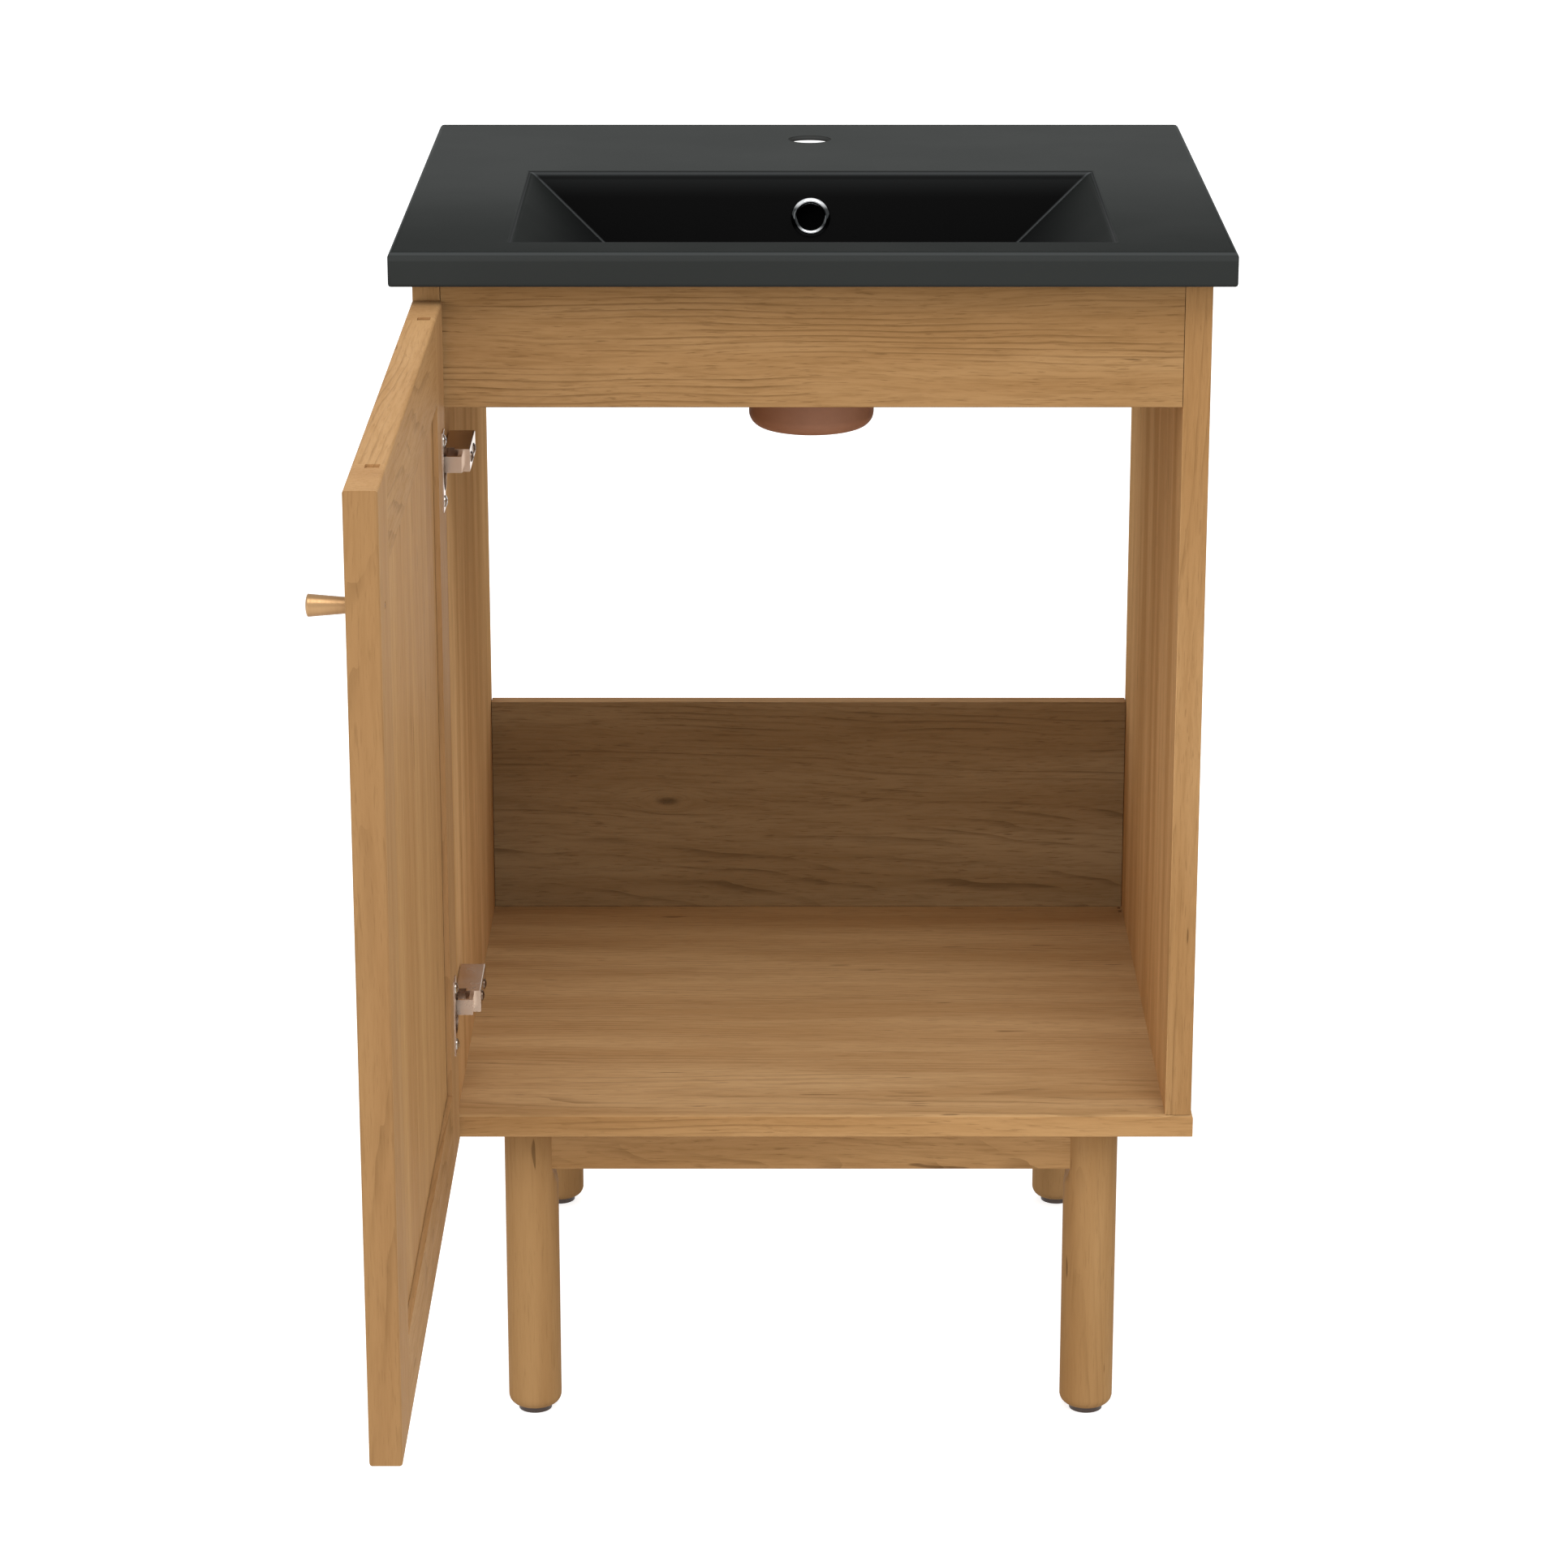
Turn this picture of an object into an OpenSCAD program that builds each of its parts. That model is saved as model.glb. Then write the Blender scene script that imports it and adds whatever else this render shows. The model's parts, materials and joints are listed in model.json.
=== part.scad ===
// Bathroom vanity unit: a black ceramic top with a moulded basin on an open oak cabinet with
// one framed door, standing on four turned legs. Millimetres, +Z up, the front faces -Y, and
// the door stands open at a right angle. The floor is Z = 0.

/* [Overall] */
// Height from the floor to the top of the ceramic
unit_h = 940; // [860:5:980]
// Width of the cabinet over its side panels
cab_w = 584; // [560:2:700]
// Depth of the cabinet from the front edge of the side panels to the back
cab_d = 510; // [490:2:560]
// Height of the bottom board's underside above the floor
base_h = 245; // [200:5:280]

/* [Ceramic top] */
// How far the top stands out past each side panel
top_side = 15.5; // [8:0.5:30]
// How far the top stands out in front of the side panels
top_front = 28; // [27:0.5:40]
// How far the top stands out behind the side panels
top_rear = 17; // [0:0.5:30]
// Height of the top's outer rim
rim_h = 26; // [22:1:32]
// Thickness of the ceramic deck
deck_t = 10; // [8:0.5:13]
// Thickness of the ceramic round the bowl
bowl_wall = 9; // [7:0.5:11]
// Radius of the top's upper edge at the front and sides
nose_r = 5; // [3:0.5:7]
// Radius of the top's upright corners and lower edges
corner_r = 3; // [2:0.5:6]
// How far the top's rim reaches in past the boards it stands on
rim_land = 2; // [1:0.5:6]

/* [Bowl] */
// Width of the bowl at the rim
bowl_w = 440; // [400:2:460]
// Depth of the bowl from front to back at the rim
bowl_d = 289; // [270:1:300]
// Distance from the front of the side panels to the bowl
bowl_front = 13; // [12:0.5:24]
// Depth of the bowl's floor at its front edge
bowl_front_deep = 112; // [104:1:116]
// Lean of the bowl's back wall from upright, in degrees
back_lean = 10; // [6:1:14]
// Lean of the bowl's side walls from upright, in degrees
side_lean = 46; // [40:1:48]
// Lean of the bowl's front wall from upright, in degrees
front_lean = 35; // [28:1:38]
// Radius where the walls meet the floor
floor_r = 9; // [6:0.5:14]

/* [Water fittings] */
// Radius of the hole for the tap
tap_r = 17.5; // [16:0.5:18.5]
// Distance from the tap hole's centre to the back of the side panels
tap_back = 57; // [52:1:62]
// Thickness of the ceramic that the tap clamps
tap_land = 4; // [3:0.5:8]
// Room round the tap hole for the tap's nut
tap_room = 10; // [6:0.5:14]
// Fall of the channel behind the tap hole, in degrees
tap_fall = 9.5; // [6:0.5:12]
// Radius of the drain hole
drain_r = 22.5; // [20:0.5:24]
// Distance from the front of the bowl to the drain's centre
drain_in = 145; // [135:1:155]
// Width of the seat for the waste's flange round the drain hole
seat_w = 9; // [6:0.5:12]
// Depth of that seat
seat_d = 4; // [2:0.5:6]
// Radius of the drain boss under the basin
boss_r = 48; // [42:1:54]
// Height of the boss's lower face below the ceramic's upper face
boss_drop = 170; // [160:1:176]
// Rounding of the boss's lower edge
boss_edge_r = 11; // [6:1:14]
// Depth of the overflow hole's centre below the rim
overflow_deep = 35; // [33:1:37]
// Flat wall left between the overflow ring and the rounding of the floor
overflow_clear = 0.5; // [0.5:0.5:4]
// Radius of the overflow hole
overflow_r = 12.5; // [10:0.5:13.5]
// Outer radius of the chrome overflow ring
ring_r = 15.5; // [14:0.5:16.5]
// Bore radius of the chrome overflow ring
ring_bore_r = 10.5; // [8:0.5:11]
// Thickness of the chrome overflow ring
ring_t = 2.2; // [1.6:0.1:3]
// Half the clear depth of the overflow duct
duct_r = 7; // [5:0.5:9]
// Half the clear width of the overflow duct
duct_half = 16; // [14:0.5:20]
// Thickness of the duct's walls
duct_wall = 7; // [5:0.5:9]

/* [Cabinet boards] */
// Thickness of the side panels
side_t = 20; // [18:0.5:22]
// Thickness of the bottom board
board_t = 18; // [16:0.5:22]
// How far the bottom board stands out past each side panel
board_proud = 1.5; // [0.5:0.5:2]
// How far the bottom board stands out in front of the side panels
board_nose = 1; // [0.5:0.1:1.2]
// Rounding of the bottom board's upper front and side edges
board_r = 3; // [2:0.5:5]
// Rounding of the other edges of the boards
arris = 1; // [0.5:0.1:1.5]
// Height of the front rail
rail_h = 95; // [80:1:110]
// Thickness of the front and back rails
rail_t = 18; // [15:0.5:20]
// Height of the back rail
back_rail_h = 90; // [70:1:110]
// Height of the low back panel
back_h = 185; // [150:1:220]
// Thickness of the low back panel
back_t = 15; // [15:0.5:18]
// Hairline joint at each end of the rails and back panel
joint_gap = 0.5; // [0.3:0.1:0.8]
// Leg of the triangular corner blocks
block_leg = 55; // [40:1:60]
// Thickness of the corner blocks
block_t = 20; // [16:1:24]
// Spacing of the wall screws in the back rail
wall_spacing = 400; // [300:10:440]
// Radius of the wall screw holes
wall_hole_r = 4; // [3:0.5:5]
// Radius of the two small pins at the shelf's back right corner
pin_head_r = 1.4; // [1:0.1:2]

/* [Base frame] */
// Radius of the turned legs
leg_r = 20.8; // [18:0.1:24]
// Distance from the cabinet's side to a leg's axis
leg_side = 74; // [60:1:90]
// Distance from the cabinet's front and back to the front legs' axes
leg_front = 40; // [34:1:50]
// Distance from the cabinet's back to the rear legs' axes
leg_rear = 38; // [34:1:50]
// Rounding of a leg's foot
leg_foot_r = 8; // [5:0.5:10]
// Distance from a leg's axis to the flat that an apron meets
leg_flat = 16.5; // [15:0.5:17.5]
// Length of the sloping shoulder under a flat
shoulder_h = 16; // [8:1:24]
// Height of the aprons
apron_h = 38; // [34:1:50]
// Thickness of the aprons
apron_t = 18; // [16:0.5:20]
// Radius of the foot glides
glide_r = 13; // [10:0.5:14]
// Height of the foot glides
glide_h = 4.5; // [3:0.5:6]
// Radius of the pin on a glide
glide_pin_r = 2; // [1.5:0.25:3]
// Length of the pin on a glide
glide_pin_l = 18; // [12:1:24]
// Width of a corner plate's slanted part along each apron
plate_run = 46; // [40:1:56]
// Length of a corner plate's flaps
plate_flap = 20; // [16:1:26]
// Height of the corner plates
plate_h = 28; // [22:1:32]
// Sheet thickness of the corner plates
plate_skin = 2.5; // [1.5:0.25:3]
// Radius of the hanger bolts
bolt_r = 4; // [3:0.5:5]
// Width across the points of the nuts on the hanger bolts
nut_w = 15; // [12:0.5:17]

/* [Door] */
// Thickness of the door frame
door_t = 22; // [21:0.5:23]
// Cabinet side left uncovered at each edge of the closed door
door_reveal = 3; // [2.5:0.5:4]
// Gap between the door and the side panels, open or closed
door_gap = 5; // [5:0.25:6]
// Distance from the top's underside to the door
door_top_gap = 14; // [8:1:20]
// Width of the door's stiles
stile_w = 70; // [64:1:80]
// Width of the door's rails
door_rail_w = 62; // [54:1:74]
// Thickness of the door's flat panel
panel_t = 9; // [6:0.5:10]
// Depth of the panel below the frame's inner face
panel_recess = 4; // [3:0.5:6]
// Depth of the groove that holds the panel
groove_d = 10; // [8:0.5:12]
// Width and depth of the shadow line cut round the panel
shadow_w = 1.6; // [1:0.1:2]
// Rounding of the door's outer edges
door_edge_r = 2; // [1.5:0.25:3]

/* [Knob] */
// Length of the knob
knob_l = 28; // [24:1:36]
// Radius of the knob's outer end
knob_r = 7.3; // [6:0.1:10]
// Radius of the knob where it meets the door
knob_neck_r = 5.1; // [4:0.1:6]
// Distance from the top of the door to the knob's axis
knob_down = 82; // [70:1:120]
// Rounding of the knob's outer face
knob_dome = 20; // [12:1:40]
// Radius of the screw that holds the knob
knob_screw_r = 2; // [1.5:0.25:2.5]
// Radius of that screw's head on the door's inner face
knob_head_r = 2.6; // [2.3:0.1:4]
// How far the screw reaches into the knob
knob_screw_in = 11; // [8:1:14]

/* [Hinges] */
// Distance from the top of the door to the upper hinge
hinge_down = 120; // [116:1:140]
// Distance from the bottom of the door to the lower hinge
hinge_up = 112; // [100:1:130]
// Radius of the hinge cup
cup_r = 17.4; // [17:0.1:17.5]
// Depth of the hinge cup
cup_deep = 13.4; // [13.2:0.1:14]
// Wood left between the cup and the door's edge
cup_edge = 4; // [3.5:0.1:4]
// Thickness of the cup's sheet metal
cup_skin = 0.9; // [0.7:0.1:1]
// Thickness of the cup's flange
flange_t = 1.2; // [1:0.1:1.4]
// Height of the cup's flange
flange_h = 59; // [54:1:64]
// Spacing of the two cup screws
cup_screw_gap = 45; // [42:1:48]
// Distance from the cup's axis to the line of its screws
cup_screw_off = 9.5; // [8:0.1:11]
// Thickness of the cup's two lugs that hold the pin
lug_t = 2.2; // [1.8:0.1:2.6]
// Gap between the arm's nose and each lug
lug_play = 0.4; // [0.2:0.1:0.6]
// Radius of the hinge pin
pin_r = 1.25; // [1:0.05:1.3]
// Radial clearance of the hinge pin in the arm
pin_play = 0.05; // [0.02:0.01:0.08]
// Radius of the arm's knuckle round the pin
knuckle_r = 2.6; // [2.4:0.1:2.6]
// Width of the arm's hooked nose
hook_w = 12; // [10:0.5:12]
// Outside width of the arm's channel
arm_w = 17; // [15:0.5:18]
// Height of the arm's outer web above the side panel
arm_h = 20; // [18:0.5:21]
// Distance from the front of the side panels to the arm's back end
arm_back = 58; // [50:1:64]
// Sheet thickness of the arm
arm_skin = 1.5; // [1.2:0.1:1.8]
// Thickness of the arm's hooked nose
hook_t = 3.2; // [2.8:0.1:3.6]
// Distance from the arm's outer web back to the hooked nose
hook_in = 5.3; // [5:0.1:5.6]
// Radius of the adjusting screws
adjust_r = 2.5; // [2:0.25:3]
// Radius of the adjusting screws' heads
adjust_head_r = 4; // [3.5:0.25:5]
// Thickness of the mounting plate
plate_t = 5.3; // [4:0.1:6]
// Distance from the front of the side panels to the mounting plate
plate_front = 16; // [12:1:18]

/* [Fastenings] */
// Radius of the wooden dowels
dowel_r = 4; // [3:0.5:4]
// Depth of a dowel in the side panels and legs
dowel_in = 12; // [10:1:14]
// Depth of a dowel in the end of a rail or apron
dowel_out = 24; // [16:1:28]
// Radius of the connecting screws in the side panels
screw_r = 3; // [2:0.25:3.5]
// Length of the connecting screws
screw_l = 60; // [50:5:70]
// Radius of the screws through the aprons
apron_screw_r = 2.5; // [2:0.25:3]
// How deep the heads of those screws sit in the aprons
apron_screw_deep = 10; // [6:1:14]
// Radius of the wood screws in the corner plates
wood_screw_r = 2; // [1.5:0.25:2.5]
// Radius of the cup screws
cup_screw_r = 1.5; // [1.25:0.25:2]
// Radius of the cup screws' round heads
cup_head_r = 4.4; // [3.6:0.2:5]
// Length of the small wood screws below their heads
small_screw_l = 12; // [9:1:14]
// Radial clearance of screws and dowels in their holes
hole_play = 0.1; // [0.05:0.05:0.2]

/* [Hidden] */
$fn = 48;

oak = "#B08A5C";
oak_dark = "#8A6A44";
ceramic = "#3A3C3B";
nickel = "#C9B6A8";
zinc = "#B8B8B4";
brass = "#C49A63";

// Heights
board_top = base_h + board_t;
side_top = unit_h - rim_h;
door_bottom = base_h;
door_top = side_top - door_top_gap;
door_w = cab_w - 2 * door_reveal;
inner_half = cab_w / 2 - side_t;
// The row's origin is under the middle of the whole unit with its door open
open_reach = door_gap + door_w;
top_back = cab_d + top_rear;
front_y = (open_reach - top_back) / 2;
// How far a cut runs past what it cuts
over = 1;
// The ceramic top
top_half = cab_w / 2 + top_side;
bowl_y0 = bowl_front;
bowl_y1 = bowl_y0 + bowl_d;
tap_y = cab_d - tap_back;
tap_room_r = tap_r + tap_room;
drain_y = bowl_y0 + drain_in;
boss_z = unit_h - boss_drop;
bowl_back_deep = overflow_deep + ring_r + overflow_clear + floor_r;
floor_back_z = unit_h - bowl_back_deep + floor_r;
floor_front_z = unit_h - bowl_front_deep + floor_r;
// Down a leaning wall from the rim to the rounding whose centre is at height z, and how far in
// from the rim that centre lies
function lean_run(lean, z) = (unit_h - z + floor_r * sin(lean)) / cos(lean);
function lean_in(lean, z) = lean_run(lean, z) * sin(lean) + floor_r * cos(lean);
floor_back_y = bowl_y1 - lean_in(back_lean, floor_back_z);
floor_front_y = bowl_y0 + lean_in(front_lean, floor_front_z);
floor_front_x = bowl_w / 2 - lean_in(side_lean, floor_front_z);
floor_slope = (floor_back_z - floor_front_z) / (floor_back_y - floor_front_y);
drain_top = floor_front_z - floor_r + (drain_y - floor_front_y) * floor_slope;
overflow_y = bowl_y1 - overflow_deep * tan(back_lean);
overflow_z = unit_h - overflow_deep;
duct_floor_half = duct_half * 0.8;
duct_y = overflow_y + bowl_wall + duct_r;
duct_low = unit_h - bowl_back_deep - bowl_wall - 3 * duct_r;
duct_mouth_z = boss_z + boss_edge_r + 2 * duct_r;
// The base frame
leg_x = cab_w / 2 - leg_side;
leg_y0 = leg_front;
leg_y1 = cab_d - leg_rear;
apron_face = sqrt(leg_r * leg_r - leg_flat * leg_flat);
apron_low = base_h - apron_h;
dowel_z = [apron_low + 1.5 * dowel_r, base_h - 1.5 * dowel_r];
bolt_z = base_h - apron_h / 2;
plate_out = apron_t - apron_face;
bolt_reach = (2 * plate_out + plate_run) / sqrt(2);
// The door hinge: one upright axis serves both hinges
pivot_x = -cab_w / 2 + (door_reveal + door_t) / 2;
pivot_y = (door_reveal - 2 * door_gap - door_t) / 2;
hinge_z = [door_top - hinge_down, door_bottom + hinge_up];
cup_u = cup_edge + cup_r + hole_play;
pin_u = -door_gap - pivot_y;
pin_v = pivot_x + cab_w / 2;
panel_v1 = door_t - panel_recess;
panel_v0 = panel_v1 - panel_t;
groove_play = 0.2;
nut_reach = bolt_reach + 1.5 * plate_skin / sqrt(2) + hole_play;
tongue_play = 1;
cup_screw_u = cup_u + cup_screw_off;
knob_u = door_w - stile_w / 2;
knob_z = door_top - knob_down;
pin_l = hook_w + 2 * lug_play + 2 * lug_t;
web_x = -inner_half + arm_h;
hook_x = web_x - hook_in;
adjust_y = [plate_front - 6, arm_back - 22];
adjust_web = adjust_head_r / 2;
plate_half = arm_w / 2 - arm_skin - groove_play;
mount_head_r = screw_r + 1.5;
mount_head_t = 2;

// Puts a piece modelled from the cabinet's front plane into the row's frame
module unit() translate([0, front_y, 0]) children();
// Puts a piece modelled in the door's own plane onto the open door: X from the hinge edge,
// Y from the outer face, Z as the unit
module on_door() unit() translate([-cab_w / 2, -door_gap, 0]) rotate([0, 0, -90]) children();
// A box between two opposite corners
module block(low, high) translate(low) cube(high - low);
// A cylinder that starts at a point and runs along +X, +Y or +Z by its length
module rod_x(p, r, l) translate(p) rotate([0, 90, 0]) cylinder(r = r, h = l);
module rod_y(p, r, l) translate(p) rotate([-90, 0, 0]) cylinder(r = r, h = l);
module rod_z(p, r, l) translate(p) cylinder(r = r, h = l);
// A rectangle whose four corners are rounded, each by its own radius
module soft_rect(w, h, r) {
  polygon([[r[0], 0], [w - r[1], 0], [w, r[1]], [w, h - r[2]], [w - r[2], h], [r[3], h], [0, h - r[3]],
           [0, r[0]]]);
  translate([r[0], r[0]]) circle(r = r[0]);
  translate([w - r[1], r[1]]) circle(r = r[1]);
  translate([w - r[2], h - r[2]]) circle(r = r[2]);
  translate([r[3], h - r[3]]) circle(r = r[3]);
}
// A bar along X whose section in Y and Z has rounded corners: front low, back low, back high, front high
module bar_x(low, high, r)
  translate(low) rotate([90, 0, 90]) linear_extrude(high[0] - low[0])
    soft_rect(high[1] - low[1], high[2] - low[2], r);
// A bar along Y whose section in X and Z has rounded corners: left low, right low, right high, left high
module bar_y(low, high, r)
  translate([low[0], high[1], low[2]]) rotate([90, 0, 0]) linear_extrude(high[1] - low[1])
    soft_rect(high[0] - low[0], high[2] - low[2], r);
// A bar along Z whose section in X and Y has rounded corners, counter-clockwise from low X, low Y
module bar_z(low, high, r)
  translate(low) linear_extrude(high[2] - low[2])
    soft_rect(high[0] - low[0], high[1] - low[1], r);
// The same piece on both sides of the cabinet
module both_sides() {
  children();
  mirror([1, 0, 0]) children();
}

// A point at an angle and distance from the origin of a section
function polar(angle, r) = r * [cos(angle), sin(angle)];
// A section through the bowl: a wall at each end that leans out from the upright, and a
// rounded corner round each of two centres, from the rim down. A wall's thickness is added.
module bowl_section(end0, end1, lean0, lean1, centre0, centre1, wall) {
  r = floor_r + wall;
  fall = atan2(centre1[1] - centre0[1], centre1[0] - centre0[0]) - 90;
  polygon([
    [end0 - wall / cos(lean0), unit_h + rim_h], [end0 - wall / cos(lean0), unit_h],
    centre0 + polar(180 + lean0, r), centre0 + polar(fall, r),
    centre1 + polar(fall, r), centre1 + polar(-lean1, r),
    [end1 + wall / cos(lean1), unit_h], [end1 + wall / cos(lean1), unit_h + rim_h]
  ]);
  translate(centre0) circle(r = r);
  translate(centre1) circle(r = r);
}
// The bowl's hollow, or with a wall added its outer skin
module bowl_form(wall) intersection() {
  translate([-bowl_w, 0, 0]) rotate([90, 0, 90]) linear_extrude(2 * bowl_w)
    bowl_section(bowl_y0, bowl_y1, front_lean, back_lean, [floor_front_y, floor_front_z],
                 [floor_back_y, floor_back_z], wall);
  translate([0, top_back, 0]) rotate([90, 0, 0]) linear_extrude(top_back + top_front)
    bowl_section(-bowl_w / 2, bowl_w / 2, side_lean, side_lean, [-floor_front_x, floor_front_z],
                 [floor_front_x, floor_front_z], wall);
}
// The drain boss with its rounded lower edge
module drain_boss()
  translate([0, drain_y, boss_z]) rotate_extrude() {
    translate([0, boss_edge_r]) square([boss_r, drain_top - boss_z - boss_edge_r]);
    square([boss_r - boss_edge_r, drain_top - boss_z]);
    intersection() {
      translate([boss_r - boss_edge_r, boss_edge_r]) circle(r = boss_edge_r);
      square([boss_r, boss_edge_r]);
    }
  }
// The duct that leads the overflow down behind the bowl and under its floor into the boss
module overflow_duct(wall) {
  block([-duct_half - wall, duct_y - duct_r - wall, duct_low - wall],
        [duct_half + wall, duct_y + duct_r + wall, overflow_z + duct_half + wall]);
  run = duct_y - drain_y;
  translate([0, drain_y, duct_mouth_z]) rotate([atan2(duct_low + duct_r - duct_mouth_z, run), 0, 0])
    block([-duct_floor_half - wall, 0, -duct_r - wall], [duct_floor_half + wall, run, duct_r + wall]);
}
module vanity_top() color(ceramic) unit() difference() {
  union() {
    difference() {
      intersection() {
        bar_x([-top_half, -top_front, side_top], [top_half, top_back, unit_h],
              [corner_r, corner_r, corner_r, nose_r]);
        bar_y([-top_half, -top_front, side_top], [top_half, top_back, unit_h],
              [corner_r, corner_r, nose_r, nose_r]);
        bar_z([-top_half, -top_front, side_top], [top_half, top_back, unit_h],
              [1, 1, 1, 1] * corner_r);
      }
      block([rim_land - inner_half, rail_t + rim_land, side_top - over],
            [inner_half - rim_land, cab_d - rail_t - rim_land, unit_h - deck_t]);
    }
    intersection() {
      union() {
        bowl_form(bowl_wall);
        overflow_duct(duct_wall);
      }
      block([-top_half, -top_front, boss_z], [top_half, top_back, unit_h - deck_t / 2]);
    }
    drain_boss();
  }
  bowl_form(0);
  overflow_duct(0);
  translate([0, overflow_y, overflow_z]) rotate([-90 - back_lean, 0, 0])
    translate([0, 0, -over]) cylinder(r = overflow_r, h = bowl_wall + duct_r);
  rod_z([0, drain_y, boss_z - over], drain_r, bowl_front_deep);
  rod_z([0, drain_y, drain_top - seat_d], drain_r + seat_w, bowl_front_deep);
  rod_z([0, tap_y, side_top - over], tap_r, rim_h + 2 * over);
  rod_z([0, tap_y, side_top - over], tap_room_r, rim_h + over - tap_land);
  translate([0, tap_y + (tap_r + tap_room_r) / 2, unit_h - tap_land]) rotate([-tap_fall, 0, 0])
    block([-tap_room_r, 0, -2 * rim_h], [tap_room_r, tap_back + top_rear, 0]);
}

module overflow_ring() color("silver") unit()
  translate([0, overflow_y, overflow_z]) rotate([90 - back_lean, 0, 0]) translate([0, 0, hole_play])
    rotate_extrude()
      polygon([[ring_bore_r, -bowl_wall], [overflow_r - hole_play, -bowl_wall], [overflow_r - hole_play, 0],
               [ring_r, 0], [ring_r, ring_t / 2], [ring_r - ring_t * 0.7, ring_t],
               [ring_bore_r + ring_t / 2, ring_t], [ring_bore_r, ring_t / 2]]);

// Holes in a side panel for the rails, the back panel and the connecting screws
side_dowels = [
  [rail_t / 2, side_top - rail_h * 0.25], [rail_t / 2, side_top - rail_h * 0.75],
  [cab_d - rail_t / 2, side_top - back_rail_h * 0.25], [cab_d - rail_t / 2, side_top - back_rail_h * 0.75],
  [cab_d - back_t / 2, board_top + back_h * 0.25], [cab_d - back_t / 2, board_top + back_h * 0.75]
];
side_screw_y = [cab_d * 0.12, cab_d * 0.5, cab_d * 0.88];
side_screw_x = cab_w / 2 - side_t / 2;
mount_screw_y = [plate_front + 10, arm_back - 14];
all_arris = [1, 1, 1, 1] * arris;
module side_panel() difference() {
  bar_z([inner_half, 0, board_top], [cab_w / 2, cab_d, side_top], all_arris);
  for (d = side_dowels) rod_x([inner_half - over, d[0], d[1]], dowel_r + hole_play, dowel_in + over);
  for (y = side_screw_y)
    rod_z([side_screw_x, y, board_top - over], screw_r + hole_play, screw_l - board_t + 3 * over);
}
module side_panel_left() color(oak) unit() difference() {
  mirror([1, 0, 0]) side_panel();
  for (z = hinge_z)
    for (y = mount_screw_y)
      rod_x([-inner_half - dowel_in, y, z], screw_r + hole_play, dowel_in + over);
}
module side_panel_right() color(oak) unit() side_panel();

module board_dowels() color("burlywood") unit() both_sides()
  for (d = side_dowels) rod_x([inner_half - dowel_out, d[0], d[1]], dowel_r, dowel_out + dowel_in - over);
// The holes for those dowels in the ends of the rails and the back panel
module dowel_holes() both_sides()
  for (d = side_dowels)
    rod_x([inner_half - dowel_out - over, d[0], d[1]], dowel_r + hole_play, dowel_out + 2 * over);

module front_rail() color(oak) unit() difference() {
  bar_x([joint_gap - inner_half, 0, side_top - rail_h], [inner_half - joint_gap, rail_t, side_top],
        all_arris);
  dowel_holes();
}
module back_rail() color(oak) unit() difference() {
  bar_x([joint_gap - inner_half, cab_d - rail_t, side_top - back_rail_h],
        [inner_half - joint_gap, cab_d, side_top], all_arris);
  dowel_holes();
  both_sides() rod_y([wall_spacing / 2, cab_d - rail_t - over, side_top - back_rail_h / 2],
                     wall_hole_r, rail_t + 2 * over);
}
module back_panel() color(oak_dark) unit() difference() {
  bar_x([joint_gap - inner_half, cab_d - back_t, board_top],
        [inner_half - joint_gap, cab_d, board_top + back_h], all_arris);
  dowel_holes();
}
board_low = [-cab_w / 2 - board_proud, -board_nose, base_h];
board_high = [cab_w / 2 + board_proud, cab_d, board_top];
apron_screw_at = [
  [leg_x * 0.5, leg_y0 - apron_face + apron_t / 2], [leg_x * 0.5, leg_y1 + apron_face - apron_t / 2],
  [leg_x + apron_face - apron_t / 2, cab_d * 0.35], [leg_x + apron_face - apron_t / 2, cab_d * 0.65]
];
pin_at = [[inner_half - 2 * pin_head_r, cab_d - back_t - 3 * pin_head_r],
          [inner_half - 1.8 * pin_head_r, cab_d - back_t - 9 * pin_head_r]];
pin_shank_r = 0.6;
pin_shank_l = 8;
module bottom_board() color(oak) unit() difference() {
  intersection() {
    bar_x(board_low, board_high, [arris, arris, arris, board_r]);
    bar_y(board_low, board_high, [arris, arris, board_r, board_r]);
  }
  both_sides() {
    for (y = side_screw_y) {
      rod_z([side_screw_x, y, base_h - over], screw_r + hole_play, board_t + 2 * over);
      rod_z([side_screw_x, y, base_h - over], side_head_r + hole_play, side_head_t + over + hole_play);
    }
    for (p = apron_screw_at)
      rod_z([p[0], p[1], base_h - over], apron_screw_r + hole_play, small_screw_l + 2 * over);
  }
  for (p = pin_at) rod_z([p[0], p[1], board_top - pin_shank_l - over], pin_shank_r, pin_shank_l + 2 * over);
}
side_head_r = screw_r + 2;
side_head_t = 3;
module side_screws() color(zinc) unit() both_sides()
  for (y = side_screw_y) {
    rod_z([side_screw_x, y, base_h], screw_r, screw_l);
    rod_z([side_screw_x, y, base_h], side_head_r, side_head_t);
  }
module panel_pins() color(nickel) unit()
  for (p = pin_at) {
    rod_z([p[0], p[1], board_top - pin_shank_l], pin_shank_r, pin_shank_l);
    rod_z([p[0], p[1], board_top], pin_head_r, pin_shank_r);
  }
module corner_block(y, way)
  translate([inner_half - joint_gap, y, side_top - block_t]) linear_extrude(block_t)
    polygon([[0, 0], [0, way * block_leg], [-block_leg, 0]]);
module corner_blocks() color(oak_dark) unit() both_sides() {
  corner_block(rail_t, 1);
  corner_block(cab_d - rail_t, -1);
}

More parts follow.
